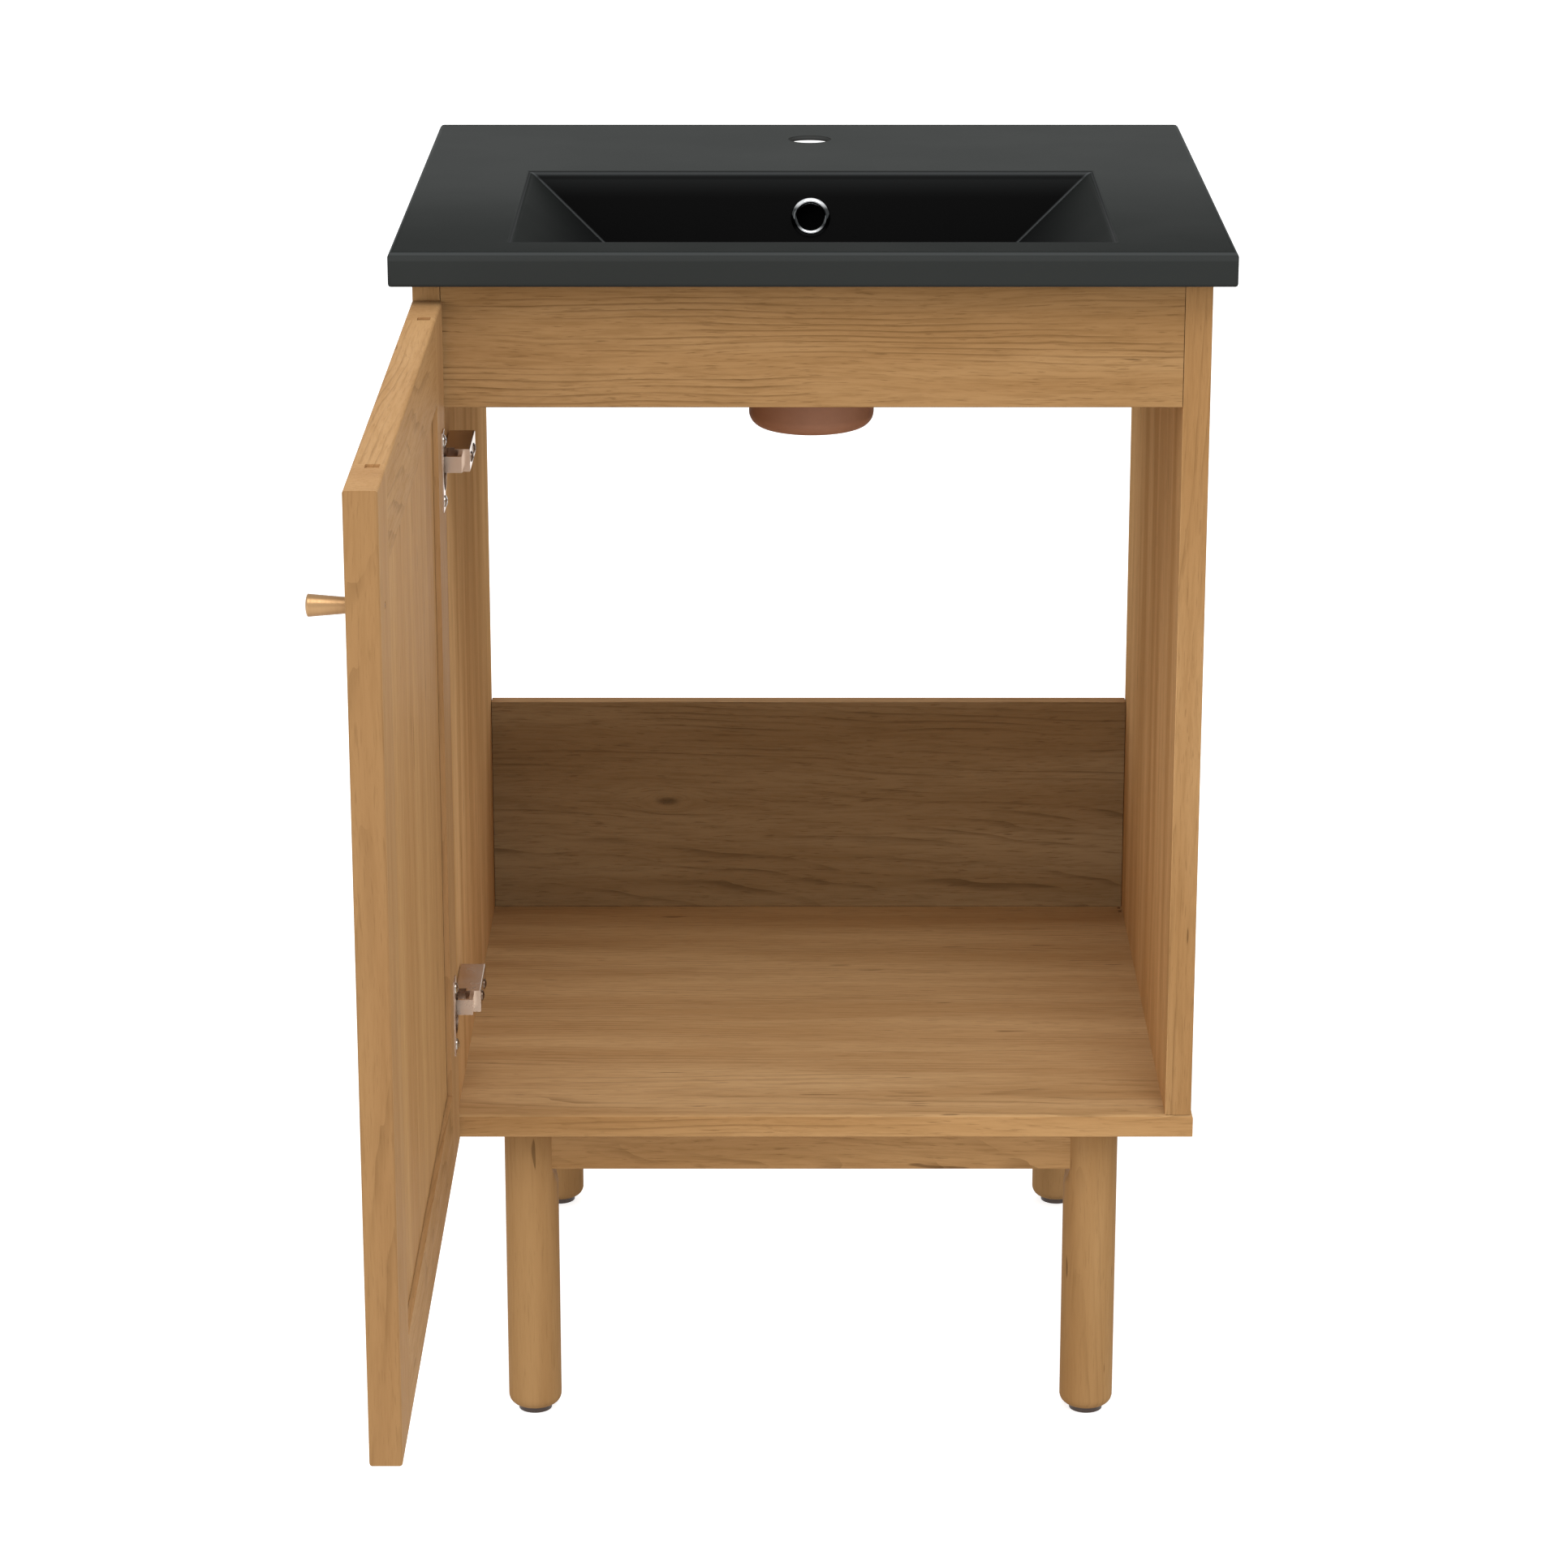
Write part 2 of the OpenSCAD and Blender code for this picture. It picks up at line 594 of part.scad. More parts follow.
// A leg with its axis on the origin; inner sides towards +X and +Y
module leg() difference() {
  translate([0, 0, glide_h]) rotate_extrude() {
    translate([0, leg_foot_r]) square([leg_r, base_h - glide_h - leg_foot_r]);
    square([leg_r - leg_foot_r, base_h - glide_h]);
    intersection() {
      translate([leg_r - leg_foot_r, leg_foot_r]) circle(r = leg_foot_r);
      square([leg_r, leg_foot_r]);
    }
  }
  for (turn = [0, 1]) mirror([turn, -turn, 0]) {
    translate([0, 2 * leg_r, 0]) rotate([90, 0, 0]) linear_extrude(4 * leg_r)
      polygon([[leg_flat, base_h + over], [leg_flat, apron_low], [leg_r + over, apron_low - shoulder_h],
               [2 * leg_r, apron_low - shoulder_h], [2 * leg_r, base_h + over]]);
    for (z = dowel_z)
      rod_x([leg_flat - dowel_in, apron_t / 2 - apron_face, z], dowel_r + hole_play, dowel_in + dowel_r);
  }
  bolt_hole(-bolt_r);
  rod_z([0, 0, glide_h - over], glide_pin_r + hole_play, glide_pin_l + 2 * over);
}
// The hole for the hanger bolt, from a point on its line through the leg's axis
module bolt_hole(start)
  translate([0, 0, bolt_z]) rotate([0, 0, 45]) rod_x([start, 0, 0], bolt_r + hole_play, 2 * bolt_reach);
// Puts a piece made for a corner on the origin at a leg: side is -1 left or 1 right, and end is
// 0 front or 1 rear
module at_leg(side, end)
  unit() translate([side * leg_x, end == 0 ? leg_y0 : leg_y1, 0])
    mirror([side > 0 ? 1 : 0, 0, 0]) mirror([0, end, 0]) children();
module at_each_leg()
  for (side = [-1, 1])
    for (end = [0, 1])
      at_leg(side, end) children();
module glide() {
  rod_z([0, 0, 0], glide_r, glide_h);
  rod_z([0, 0, glide_h], glide_pin_r, glide_pin_l);
}
module leg_front_left() color(oak) at_leg(-1, 0) leg();
module leg_front_right() color(oak) at_leg(1, 0) leg();
module leg_rear_left() color(oak) at_leg(-1, 1) leg();
module leg_rear_right() color(oak) at_leg(1, 1) leg();
module glide_front_left() color("#3B2A1E") at_leg(-1, 0) glide();
module glide_front_right() color("#3B2A1E") at_leg(1, 0) glide();
module glide_rear_left() color("#3B2A1E") at_leg(-1, 1) glide();
module glide_rear_right() color("#3B2A1E") at_leg(1, 1) glide();

// The dowels that join one leg to its two aprons, and their holes when play is added
module leg_dowels(play)
  for (turn = [0, 1]) mirror([turn, -turn, 0])
    for (z = dowel_z)
      rod_x([leg_flat - dowel_in + over - play, apron_t / 2 - apron_face, z], dowel_r + play,
            dowel_in + dowel_out - over + 2 * play);
module apron_dowels() color("burlywood") at_each_leg() leg_dowels(0);
module apron_dowel_holes() at_each_leg() leg_dowels(hole_play);
// The steel plate across a corner of the base frame, its leg's axis on the origin
module corner_plate() difference() {
  reach = plate_run + plate_flap;
  translate([plate_out, plate_out, bolt_z - plate_h / 2]) linear_extrude(plate_h)
    polygon([[0, reach], [0, plate_run], [plate_run, 0], [reach, 0], [reach, plate_skin],
             [plate_run + plate_skin / 2, plate_skin], [plate_skin, plate_run + plate_skin / 2],
             [plate_skin, reach]]);
  bolt_hole(leg_r);
  plate_screw_places() rod_y([0, -over, 0], wood_screw_r + hole_play, plate_skin + 2 * over);
}
// The middle of each flap, with +Y pointing away from the apron
module plate_screw_places()
  for (turn = [0, 1]) mirror([turn, -turn, 0])
    translate([plate_out + plate_run + plate_flap * 0.6, plate_out, bolt_z]) children();
module corner_plates() color(zinc) at_each_leg() corner_plate();
module hanger_bolts() color(zinc) at_each_leg()
  translate([0, 0, bolt_z]) rotate([0, 0, 45])
    rod_x([over - bolt_r, 0, 0], bolt_r, bolt_reach + 3.5 * bolt_r);
module hanger_nuts() color(zinc) at_each_leg() difference() {
  translate([0, 0, bolt_z]) rotate([0, 0, 45]) translate([nut_reach, 0, 0])
    rotate([0, 90, 0]) cylinder(r = nut_w / 2, h = 1.5 * bolt_r, $fn = 6);
  bolt_hole(leg_r);
}
module plate_wood_screws() color(zinc) at_each_leg() plate_screw_places() {
  rod_y([0, plate_skin, 0], 1.75 * wood_screw_r, wood_screw_r);
  rod_y([0, over - small_screw_l, 0], wood_screw_r, small_screw_l - over + plate_skin);
}
module plate_screw_holes() at_each_leg() plate_screw_places()
  rod_y([0, -small_screw_l, 0], wood_screw_r + hole_play, small_screw_l + over);
apron_head_r = 1.8 * apron_screw_r;
apron_head_t = 3;
module apron_screw_holes() unit() both_sides()
  for (p = apron_screw_at) {
    rod_z([p[0], p[1], apron_low - over], apron_screw_r + hole_play, apron_h + 2 * over);
    rod_z([p[0], p[1], apron_low - over], apron_head_r + hole_play, apron_screw_deep + over + hole_play);
  }
module apron_screws() color(zinc) unit() both_sides()
  for (p = apron_screw_at) {
    rod_z([p[0], p[1], apron_low + apron_screw_deep], apron_screw_r,
          apron_h - apron_screw_deep + small_screw_l);
    rod_z([p[0], p[1], apron_low + apron_screw_deep - apron_head_t], apron_head_r, apron_head_t);
  }
// An apron across the front or the back, or down a side; its upper edges stay square
edge = [arris, arris, arris / 10, arris / 10];
module apron_across(y0) difference() {
  unit() bar_x([leg_flat - leg_x, y0, apron_low], [leg_x - leg_flat, y0 + apron_t, base_h],
               edge);
  apron_dowel_holes();
  apron_screw_holes();
  plate_screw_holes();
}
module apron_down(side) difference() {
  unit() bar_y([side * (leg_x + apron_face) - (side > 0 ? apron_t : 0), leg_y0 + leg_flat, apron_low],
               [side * (leg_x + apron_face) + (side > 0 ? 0 : apron_t), leg_y1 - leg_flat, base_h],
               edge);
  apron_dowel_holes();
  apron_screw_holes();
  plate_screw_holes();
}
module apron_front() color(oak) apron_across(leg_y0 - apron_face);
module apron_rear() color(oak) apron_across(leg_y1 + apron_face - apron_t);
module apron_left() color(oak) apron_down(-1);
module apron_right() color(oak) apron_down(1);

// The hinge arm, hooked round the door's edge to the pin in the cup
module hinge_arm(z) unit() translate([0, 0, z]) difference() {
  union() {
    rod_z([pivot_x, pivot_y, -hook_w / 2], knuckle_r, hook_w);
    block([pivot_x, pivot_y - knuckle_r, -hook_w / 2], [hook_x, pivot_y, hook_w / 2]);
    block([hook_x - hook_t, pivot_y - knuckle_r, -hook_w / 2], [hook_x, hook_t, hook_w / 2]);
    bar_y([hook_x - 2 * hook_t, -hook_t, -arm_w / 2], [web_x, hook_t, arm_w / 2], [1, 1, 1, 1] * arris);
    bar_y([-inner_half + arris, hook_t - arris, -arm_w / 2], [web_x, arm_back, arm_w / 2],
          [groove_play, arris, arris, groove_play]);
  }
  block([-inner_half, hook_t, arm_skin - arm_w / 2],
        [web_x - arm_skin, arm_back + over, arm_w / 2 - arm_skin]);
  rod_z([pivot_x, pivot_y, -hook_w], pin_r + pin_play, 2 * hook_w);
  for (y = adjust_y) rod_x([web_x - 2 * arm_skin, y, 0], adjust_r + hole_play, 4 * arm_skin);
}
module hinge_arm_upper() color(nickel) hinge_arm(hinge_z[0]);
module hinge_arm_lower() color(nickel) hinge_arm(hinge_z[1]);
module adjusting_screws() color(zinc) unit()
  for (z = hinge_z)
    for (y = adjust_y) difference() {
      union() {
        rod_x([-inner_half + plate_t, y, z], adjust_r, arm_h - plate_t + over);
        rod_x([web_x, y, z], adjust_head_r, adjust_web);
      }
      block([web_x + adjust_web / 2, y - adjust_head_r - over, z - adjust_web / 4],
            [web_x + adjust_web + over, y + adjust_head_r + over, z + adjust_web / 4]);
    }
module mounting_plate(z) unit() difference() {
  union() {
    bar_y([-inner_half, plate_front, z - plate_half],
          [-inner_half + plate_t, arm_back - 2 * over, z + plate_half],
          [groove_play, arris, arris, groove_play]);
    block([-inner_half, hook_t + over, z - plate_half + over],
          [-inner_half + plate_t, plate_front + over, z + plate_half - over]);
  }
  for (y = mount_screw_y) {
    rod_x([-inner_half - over, y, z], screw_r + hole_play, plate_t + 2 * over);
    rod_x([-inner_half + plate_t - mount_head_t, y, z], mount_head_r + hole_play, mount_head_t + over);
  }
}
module mounting_plate_upper() color(nickel) mounting_plate(hinge_z[0]);
module mounting_plate_lower() color(nickel) mounting_plate(hinge_z[1]);
module mounting_screws() color(zinc) unit()
  for (z = hinge_z)
    for (y = mount_screw_y) {
      rod_x([-inner_half - dowel_in + over, y, z], screw_r, dowel_in - over + plate_t - mount_head_t);
      rod_x([-inner_half + plate_t - mount_head_t, y, z], mount_head_r, mount_head_t);
    }

// The door's pieces, in the door's own plane
module cup_holes() for (z = hinge_z) {
  rod_y([cup_u, door_t - cup_deep - hole_play, z], cup_r + hole_play, cup_deep + over);
  for (way = [-1, 1])
    rod_y([cup_screw_u, door_t - small_screw_l, z + way * cup_screw_gap / 2], cup_screw_r + hole_play,
          small_screw_l + over);
}
module panel_groove(u0, u1, z0, z1)
  block([u0, panel_v0 - groove_play, z0], [u1, panel_v1 + groove_play, z1]);
module door_outline() intersection() {
  bar_z([0, 0, door_bottom], [door_w, door_t, door_top], [1, 1, 1, 1] * door_edge_r);
  bar_x([0, 0, door_bottom], [door_w, door_t, door_top], [1, 1, 1, 1] * door_edge_r);
}
module door_stile_hinge() color(oak) on_door() difference() {
  intersection() {
    door_outline();
    block([-over, -over, door_bottom - over], [stile_w, door_t + over, door_top + over]);
  }
  panel_groove(stile_w - groove_d, stile_w + over, door_bottom - over, door_top + over);
  cup_holes();
}
module door_stile_free() color(oak) on_door() difference() {
  intersection() {
    door_outline();
    block([door_w - stile_w, -over, door_bottom - over], [door_w + over, door_t + over, door_top + over]);
  }
  panel_groove(door_w - stile_w - over, door_w - stile_w + groove_d, door_bottom - over, door_top + over);
  rod_y([knob_u, -over, knob_z], knob_screw_r + hole_play, door_t + 2 * over);
  rod_y([knob_u, door_t - knob_head_t, knob_z], knob_head_r + hole_play, knob_head_t + over);
}
knob_head_t = 1.6;
module door_rail(z0, z1, groove_z0, groove_z1) difference() {
  union() {
    intersection() {
      door_outline();
      block([stile_w, -over, z0], [door_w - stile_w, door_t + over, z1]);
    }
    block([stile_w - groove_d + groove_play, panel_v0, z0 + door_edge_r],
          [door_w - stile_w + groove_d - groove_play, panel_v1, z1 - door_edge_r]);
  }
  panel_groove(stile_w - groove_d - over, door_w - stile_w + groove_d + over, groove_z0, groove_z1);
}
module door_rail_top() color(oak) on_door()
  door_rail(door_top - door_rail_w, door_top, door_top - door_rail_w - over,
            door_top - door_rail_w + groove_d);
module door_rail_bottom() color(oak) on_door()
  door_rail(door_bottom, door_bottom + door_rail_w, door_bottom + door_rail_w - groove_d,
            door_bottom + door_rail_w + over);
module door_panel() color(oak) on_door() difference() {
  u0 = stile_w - groove_d + tongue_play;
  z0 = door_bottom + door_rail_w - groove_d + tongue_play;
  z1 = door_top - door_rail_w + groove_d - tongue_play;
  block([u0, panel_v0, z0], [door_w - u0, panel_v1, z1]);
  difference() {
    block([stile_w, panel_v1 - shadow_w, door_bottom + door_rail_w],
          [door_w - stile_w, panel_v1 + over, door_top - door_rail_w]);
    block([stile_w + shadow_w, panel_v0, door_bottom + door_rail_w + shadow_w],
          [door_w - stile_w - shadow_w, door_t, door_top - door_rail_w - shadow_w]);
  }
}
// The knob, turned about +Z with its neck on the door's face; its outer face is a shallow dome
knob_bevel = 0.6;
module knob() color(brass) on_door()
  translate([knob_u, 0, knob_z]) rotate([90, 0, 0]) difference() {
    rotate_extrude() {
      polygon([[0, 0], [knob_neck_r, 0], [knob_r, knob_l - 2 * over],
               [knob_r - knob_bevel, knob_l - over], [0, knob_l - over]]);
      intersection() {
        translate([0, knob_l - knob_dome]) circle(r = knob_dome);
        translate([0, knob_l - 2 * over]) square([knob_r - knob_bevel, 3 * over]);
      }
    }
    rod_z([0, 0, -over], knob_screw_r + hole_play, knob_screw_in + 2 * over);
  }
module knob_screw() color(zinc) on_door() {
  rod_y([knob_u, -knob_screw_in, knob_z], knob_screw_r, knob_screw_in + door_t);
  rod_y([knob_u, door_t - knob_head_t, knob_z], knob_head_r, knob_head_t);
}

// The hinge cup, sunk in the stile, with lugs that hold the pin
module hinge_cup(z) on_door() difference() {
  union() {
    difference() {
      union() {
        rod_y([cup_u, door_t - cup_deep, z], cup_r, cup_deep + flange_t);
        block([cup_u, door_t, z - flange_h / 2], [cup_u + cup_r, door_t + flange_t, z + flange_h / 2]);
      }
      rod_y([cup_u, door_t - cup_deep + cup_skin, z], cup_r - cup_skin, cup_deep + flange_t);
    }
    intersection() {
      rod_y([cup_u, door_t - cup_deep, z], cup_r, cup_deep);
      for (way = [-1, 1])
        translate([pin_u, pin_v, z + way * (hook_w + lug_t) / 2 + way * lug_play])
          block([-pin_u, door_t - cup_deep - pin_v, -lug_t / 2], [knuckle_r, knuckle_r, lug_t / 2]);
    }
  }
  rod_z([pin_u, pin_v, z - pin_l / 2], pin_r + hole_play / 5, pin_l);
  for (way = [-1, 1])
    rod_y([cup_screw_u, door_t - over, z + way * cup_screw_gap / 2], cup_screw_r + hole_play,
          flange_t + 2 * over);
}
module hinge_cup_upper() color(nickel) hinge_cup(hinge_z[0]);
module hinge_cup_lower() color(nickel) hinge_cup(hinge_z[1]);
module hinge_pin(z) on_door() rod_z([pin_u, pin_v, z - pin_l / 2], pin_r, pin_l);
module hinge_pin_upper() color(zinc) hinge_pin(hinge_z[0]);
module hinge_pin_lower() color(zinc) hinge_pin(hinge_z[1]);
// A screw's round head is the cap of a ball that rises by half its radius
head_rise = cup_head_r / 2;
head_ball = (cup_head_r * cup_head_r + head_rise * head_rise) / (2 * head_rise);
module cup_screws() color("silver") on_door()
  for (z = hinge_z)
    for (way = [-1, 1]) translate([cup_screw_u, door_t + flange_t, z + way * cup_screw_gap / 2]) {
      rod_y([0, over - small_screw_l - flange_t, 0], cup_screw_r, small_screw_l + flange_t - over);
      rotate([-90, 0, 0]) rotate_extrude() intersection() {
        translate([0, head_rise - head_ball]) circle(r = head_ball);
        square([cup_head_r, head_rise + over]);
      }
    }

vanity_top();
overflow_ring();
side_panel_left();
side_panel_right();
front_rail();
back_rail();
back_panel();
bottom_board();
corner_blocks();
board_dowels();
side_screws();
panel_pins();
leg_front_left();
leg_front_right();
leg_rear_left();
leg_rear_right();
apron_front();
apron_rear();
apron_left();
apron_right();
glide_front_left();
glide_front_right();
glide_rear_left();
glide_rear_right();
apron_dowels();
corner_plates();
hanger_bolts();
hanger_nuts();
plate_wood_screws();
apron_screws();
hinge_arm_upper();
hinge_arm_lower();
mounting_plate_upper();
mounting_plate_lower();
mounting_screws();
adjusting_screws();
door_stile_hinge();
door_stile_free();
door_rail_top();
door_rail_bottom();
door_panel();
knob();
knob_screw();
hinge_cup_upper();
hinge_cup_lower();
hinge_pin_upper();
hinge_pin_lower();
cup_screws();
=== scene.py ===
# %% [markdown]
# # A bathroom vanity unit
# The imported model gives every part its real size and place. This notebook dresses it: oak
# boards, a black glazed basin, nickel hinges and a small brass knob. First the imported parts
# are loaded, and the record names their two bodies, the cabinet and the door, and the parts of each.

# %% Load the imported parts
import json
import math

import bmesh
import bpy
from mathutils import Euler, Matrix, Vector


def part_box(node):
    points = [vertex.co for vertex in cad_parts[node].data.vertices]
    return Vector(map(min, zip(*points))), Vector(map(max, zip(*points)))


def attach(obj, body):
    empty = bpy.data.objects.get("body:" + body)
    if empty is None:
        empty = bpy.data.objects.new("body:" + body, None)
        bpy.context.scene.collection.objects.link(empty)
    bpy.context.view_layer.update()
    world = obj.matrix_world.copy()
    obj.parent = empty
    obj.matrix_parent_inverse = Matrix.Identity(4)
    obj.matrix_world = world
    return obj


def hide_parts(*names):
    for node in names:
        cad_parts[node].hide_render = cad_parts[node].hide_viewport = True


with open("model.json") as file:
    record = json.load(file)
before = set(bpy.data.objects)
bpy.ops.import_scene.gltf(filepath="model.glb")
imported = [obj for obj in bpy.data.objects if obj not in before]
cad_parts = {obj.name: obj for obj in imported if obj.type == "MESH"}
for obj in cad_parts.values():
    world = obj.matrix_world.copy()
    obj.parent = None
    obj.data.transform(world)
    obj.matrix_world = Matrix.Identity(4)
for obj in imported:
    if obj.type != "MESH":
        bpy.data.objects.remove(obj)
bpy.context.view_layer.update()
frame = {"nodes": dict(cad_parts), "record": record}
nodes = frame["nodes"]
groups = frame["record"]["behaviour"]["bodies"]
body_of = {node: body for body, group in groups.items() for node in group}

# %% [markdown]
# ## Small tools
# Colours are written as hex values, the way a paint chart gives them. Blender mixes light in
# linear numbers, so one function turns the one into the other. A second one adds a node,
# sets its values and links it, so each material below reads as a short list.

# %% Colours
MM = 0.001


def linear(code, tint=(1, 1, 1)):
    """Turns an sRGB hex colour such as #AC8354 into linear RGBA, times a tint."""
    parts = [int(code[i:i + 2], 16) / 255 for i in (1, 3, 5)]
    flat = [c / 12.92 if c <= 0.04045 else ((c + 0.055) / 1.055) ** 2.4 for c in parts]
    return [c * k for c, k in zip(flat, tint)] + [1.0]


print("oak in linear numbers:", [round(c, 3) for c in linear("#AC8354")[:3]])

# %% Nodes
# The kinds of node that come up most, and the settings that go with them
MATH, VECTOR_MATH = "ShaderNodeMath", "ShaderNodeVectorMath"
RAMP, SOFT = "ShaderNodeMapRange", {"interpolation_type": "SMOOTHSTEP"}
BLEND, COLOURS = "ShaderNodeMix", {"data_type": "RGBA"}


def feed(node, inputs):
    """Sets or links inputs, each given by name or number. What goes in is a value, a socket,
    or a node, which stands for its first output in use."""
    for key, value in inputs.items():
        if isinstance(value, bpy.types.Node):
            value = next(socket for socket in value.outputs if socket.enabled)
        if isinstance(value, bpy.types.NodeSocket):
            node.id_data.links.new(value, node.inputs[key])
        else:
            node.inputs[key].default_value = value


def add_node(tree, kind, inputs=(), **settings):
    """Adds a node with its settings and links. Its inputs come by name, or in their order."""
    node = tree.nodes.new(kind)
    for name, value in settings.items():
        setattr(node, name, value)
    feed(node, inputs if isinstance(inputs, dict) else dict(enumerate(inputs)))
    return node


def new_material(name, **shader_values):
    """Starts a material with one Principled shader and returns it with its tree and shader."""
    material = bpy.data.materials.new(name)
    material.use_nodes = True
    shader = material.node_tree.nodes["Principled BSDF"]
    feed(shader, {key.replace("_", " "): value for key, value in shader_values.items()})
    return material, material.node_tree, shader


# %% [markdown]
# ## Oak
# The cabinet is faced with oak veneer and the legs and door frame are oak, all under a satin
# lacquer. Close to, the grain is soft brown streaks a few millimetres apart that run the
# length of a board, wander a little, and close round a small knot here and there. An image
# would be the quick way, but a pattern made of noise in real millimetres fits every board,
# never repeats and cuts through the wood, so edges and ends match the faces. Each board gets
# its own cut of the log: the same recipe moved somewhere else and turned to its grain.

# %% Sizes in the wood
QUARTER_TURN = math.pi / 2
GRAIN_TURN = {"X": (0, 0, 0), "Y": (0, 0, -QUARTER_TURN), "Z": (0, QUARTER_TURN, 0)}
RING_GAP = 4.4 * MM  # one year's growth
LOG_LEAN = (0, 0.020, 0.045)  # the saw never runs quite true to the log

# How many of each feature fit in a metre, along the grain and across it
WANDER = (2.2, 9, 9)        # the slow bends of the grain: 450 mm long, 110 mm wide
WAVER = (11, 60, 60)        # its quick bends: 90 by 17 mm
ZONES = (1.8, 22, 22)       # light and deep stretches of a board: 550 by 45 mm
GOOD_YEARS = (4.5, 55, 55)  # where growth lines come and go: 220 by 18 mm
FIBRES = (22, 380, 380)     # bundles of fibres: 45 by 2.6 mm
FLECKS = (18, 190, 190)     # short dark marks, only the few strongest show: 55 by 5 mm
PORES = (55, 900, 900)      # 18 by 1.1 mm. Real ones are 0.2 mm wide; these have to show

KNOT_DARK, KNOT_REACH, KNOT_PUSH = 4.5 * MM, 22 * MM, 9 * MM
KNOT_LONG = (0.33, 1, 1)  # a knot is three times as long as it is wide
print("growth lines in 100 mm:", round(100 * MM / RING_GAP))


# %% Noise along the grain
def stretched_noise(tree, vector, scale, **values):
    """Noise whose features are 1/scale metres long on each axis."""
    place = add_node(tree, "ShaderNodeMapping", {"Vector": vector, "Scale": scale})
    inputs = {"Vector": place, "Scale": 1.0, "Detail": 2.0, "Roughness": 0.5}
    return add_node(tree, "ShaderNodeTexNoise", inputs | values)


def pushed(tree, vector, noise, reach):
    """Moves a coordinate by up to half of reach, wherever a noise sends it."""
    centred = add_node(tree, VECTOR_MATH, (noise.outputs["Color"], (0.5, 0.5, 0.5)),
                       operation="SUBTRACT")
    push = add_node(tree, VECTOR_MATH, (centred, reach), operation="MULTIPLY")
    return add_node(tree, VECTOR_MATH, (vector, push), operation="ADD")


# %% A knot and the growth rings
def parted_by_knot(tree, log, fibre, heart):
    """The fibres part round a knot. Returns them, and how dark the knot makes each place."""
    away = add_node(tree, VECTOR_MATH, (log, heart), operation="SUBTRACT")
    flat = add_node(tree, VECTOR_MATH, (away, KNOT_LONG), operation="MULTIPLY")
    far = add_node(tree, VECTOR_MATH, (flat,), operation="LENGTH")
    outward = add_node(tree, VECTOR_MATH, (flat,), operation="NORMALIZE")
    bulge = add_node(tree, RAMP, (far, 0.0, KNOT_REACH, KNOT_PUSH, 0.0), **SOFT)
    push = add_node(tree, VECTOR_MATH, {0: outward, "Scale": bulge}, operation="SCALE")
    parted = add_node(tree, VECTOR_MATH, (fibre, push), operation="SUBTRACT")
    return parted, add_node(tree, RAMP, (far, 1 * MM, KNOT_DARK, 0.55, 0.0), **SOFT)


def growth_lines(tree, fibre):
    """Growth rings cut almost along their axis: long lines, and arches near the heart."""
    leaning = add_node(tree, "ShaderNodeMapping", {"Vector": fibre, "Rotation": LOG_LEAN})
    rings = add_node(tree, "ShaderNodeTexWave", {
        "Vector": leaning, "Scale": math.pi / (10 * RING_GAP)}, wave_type="RINGS",
        rings_direction="X", wave_profile="SAW")
    line = add_node(tree, RAMP, (rings.outputs["Fac"], 0.58, 1.0), **SOFT)
    # The lines come and go along the board, and some years are darker than others
    years = stretched_noise(tree, fibre, GOOD_YEARS, Detail=3.0, Roughness=0.6)
    good = add_node(tree, RAMP, (years, 0.42, 0.66), **SOFT)
    return add_node(tree, MATH, (line, good), operation="MULTIPLY")


# %% Painted light and shade on one side
def with_painted_side_light(tree, colour, normal, painted_side_light):
    """Tints a board's faces on one side, to paint the light and shade that falls there."""
    axis, side, factor = painted_side_light
    parts = add_node(tree, "ShaderNodeSeparateXYZ", (normal,)).outputs
    toward = add_node(tree, MATH, (parts[axis], side), operation="MULTIPLY")
    on_leaf = add_node(tree, MATH, (toward, 0.5), operation="GREATER_THAN")
    return add_node(tree, BLEND, {0: on_leaf, 6: colour, 7: (*factor, 1.0)},
                    blend_type="MULTIPLY", **COLOURS)


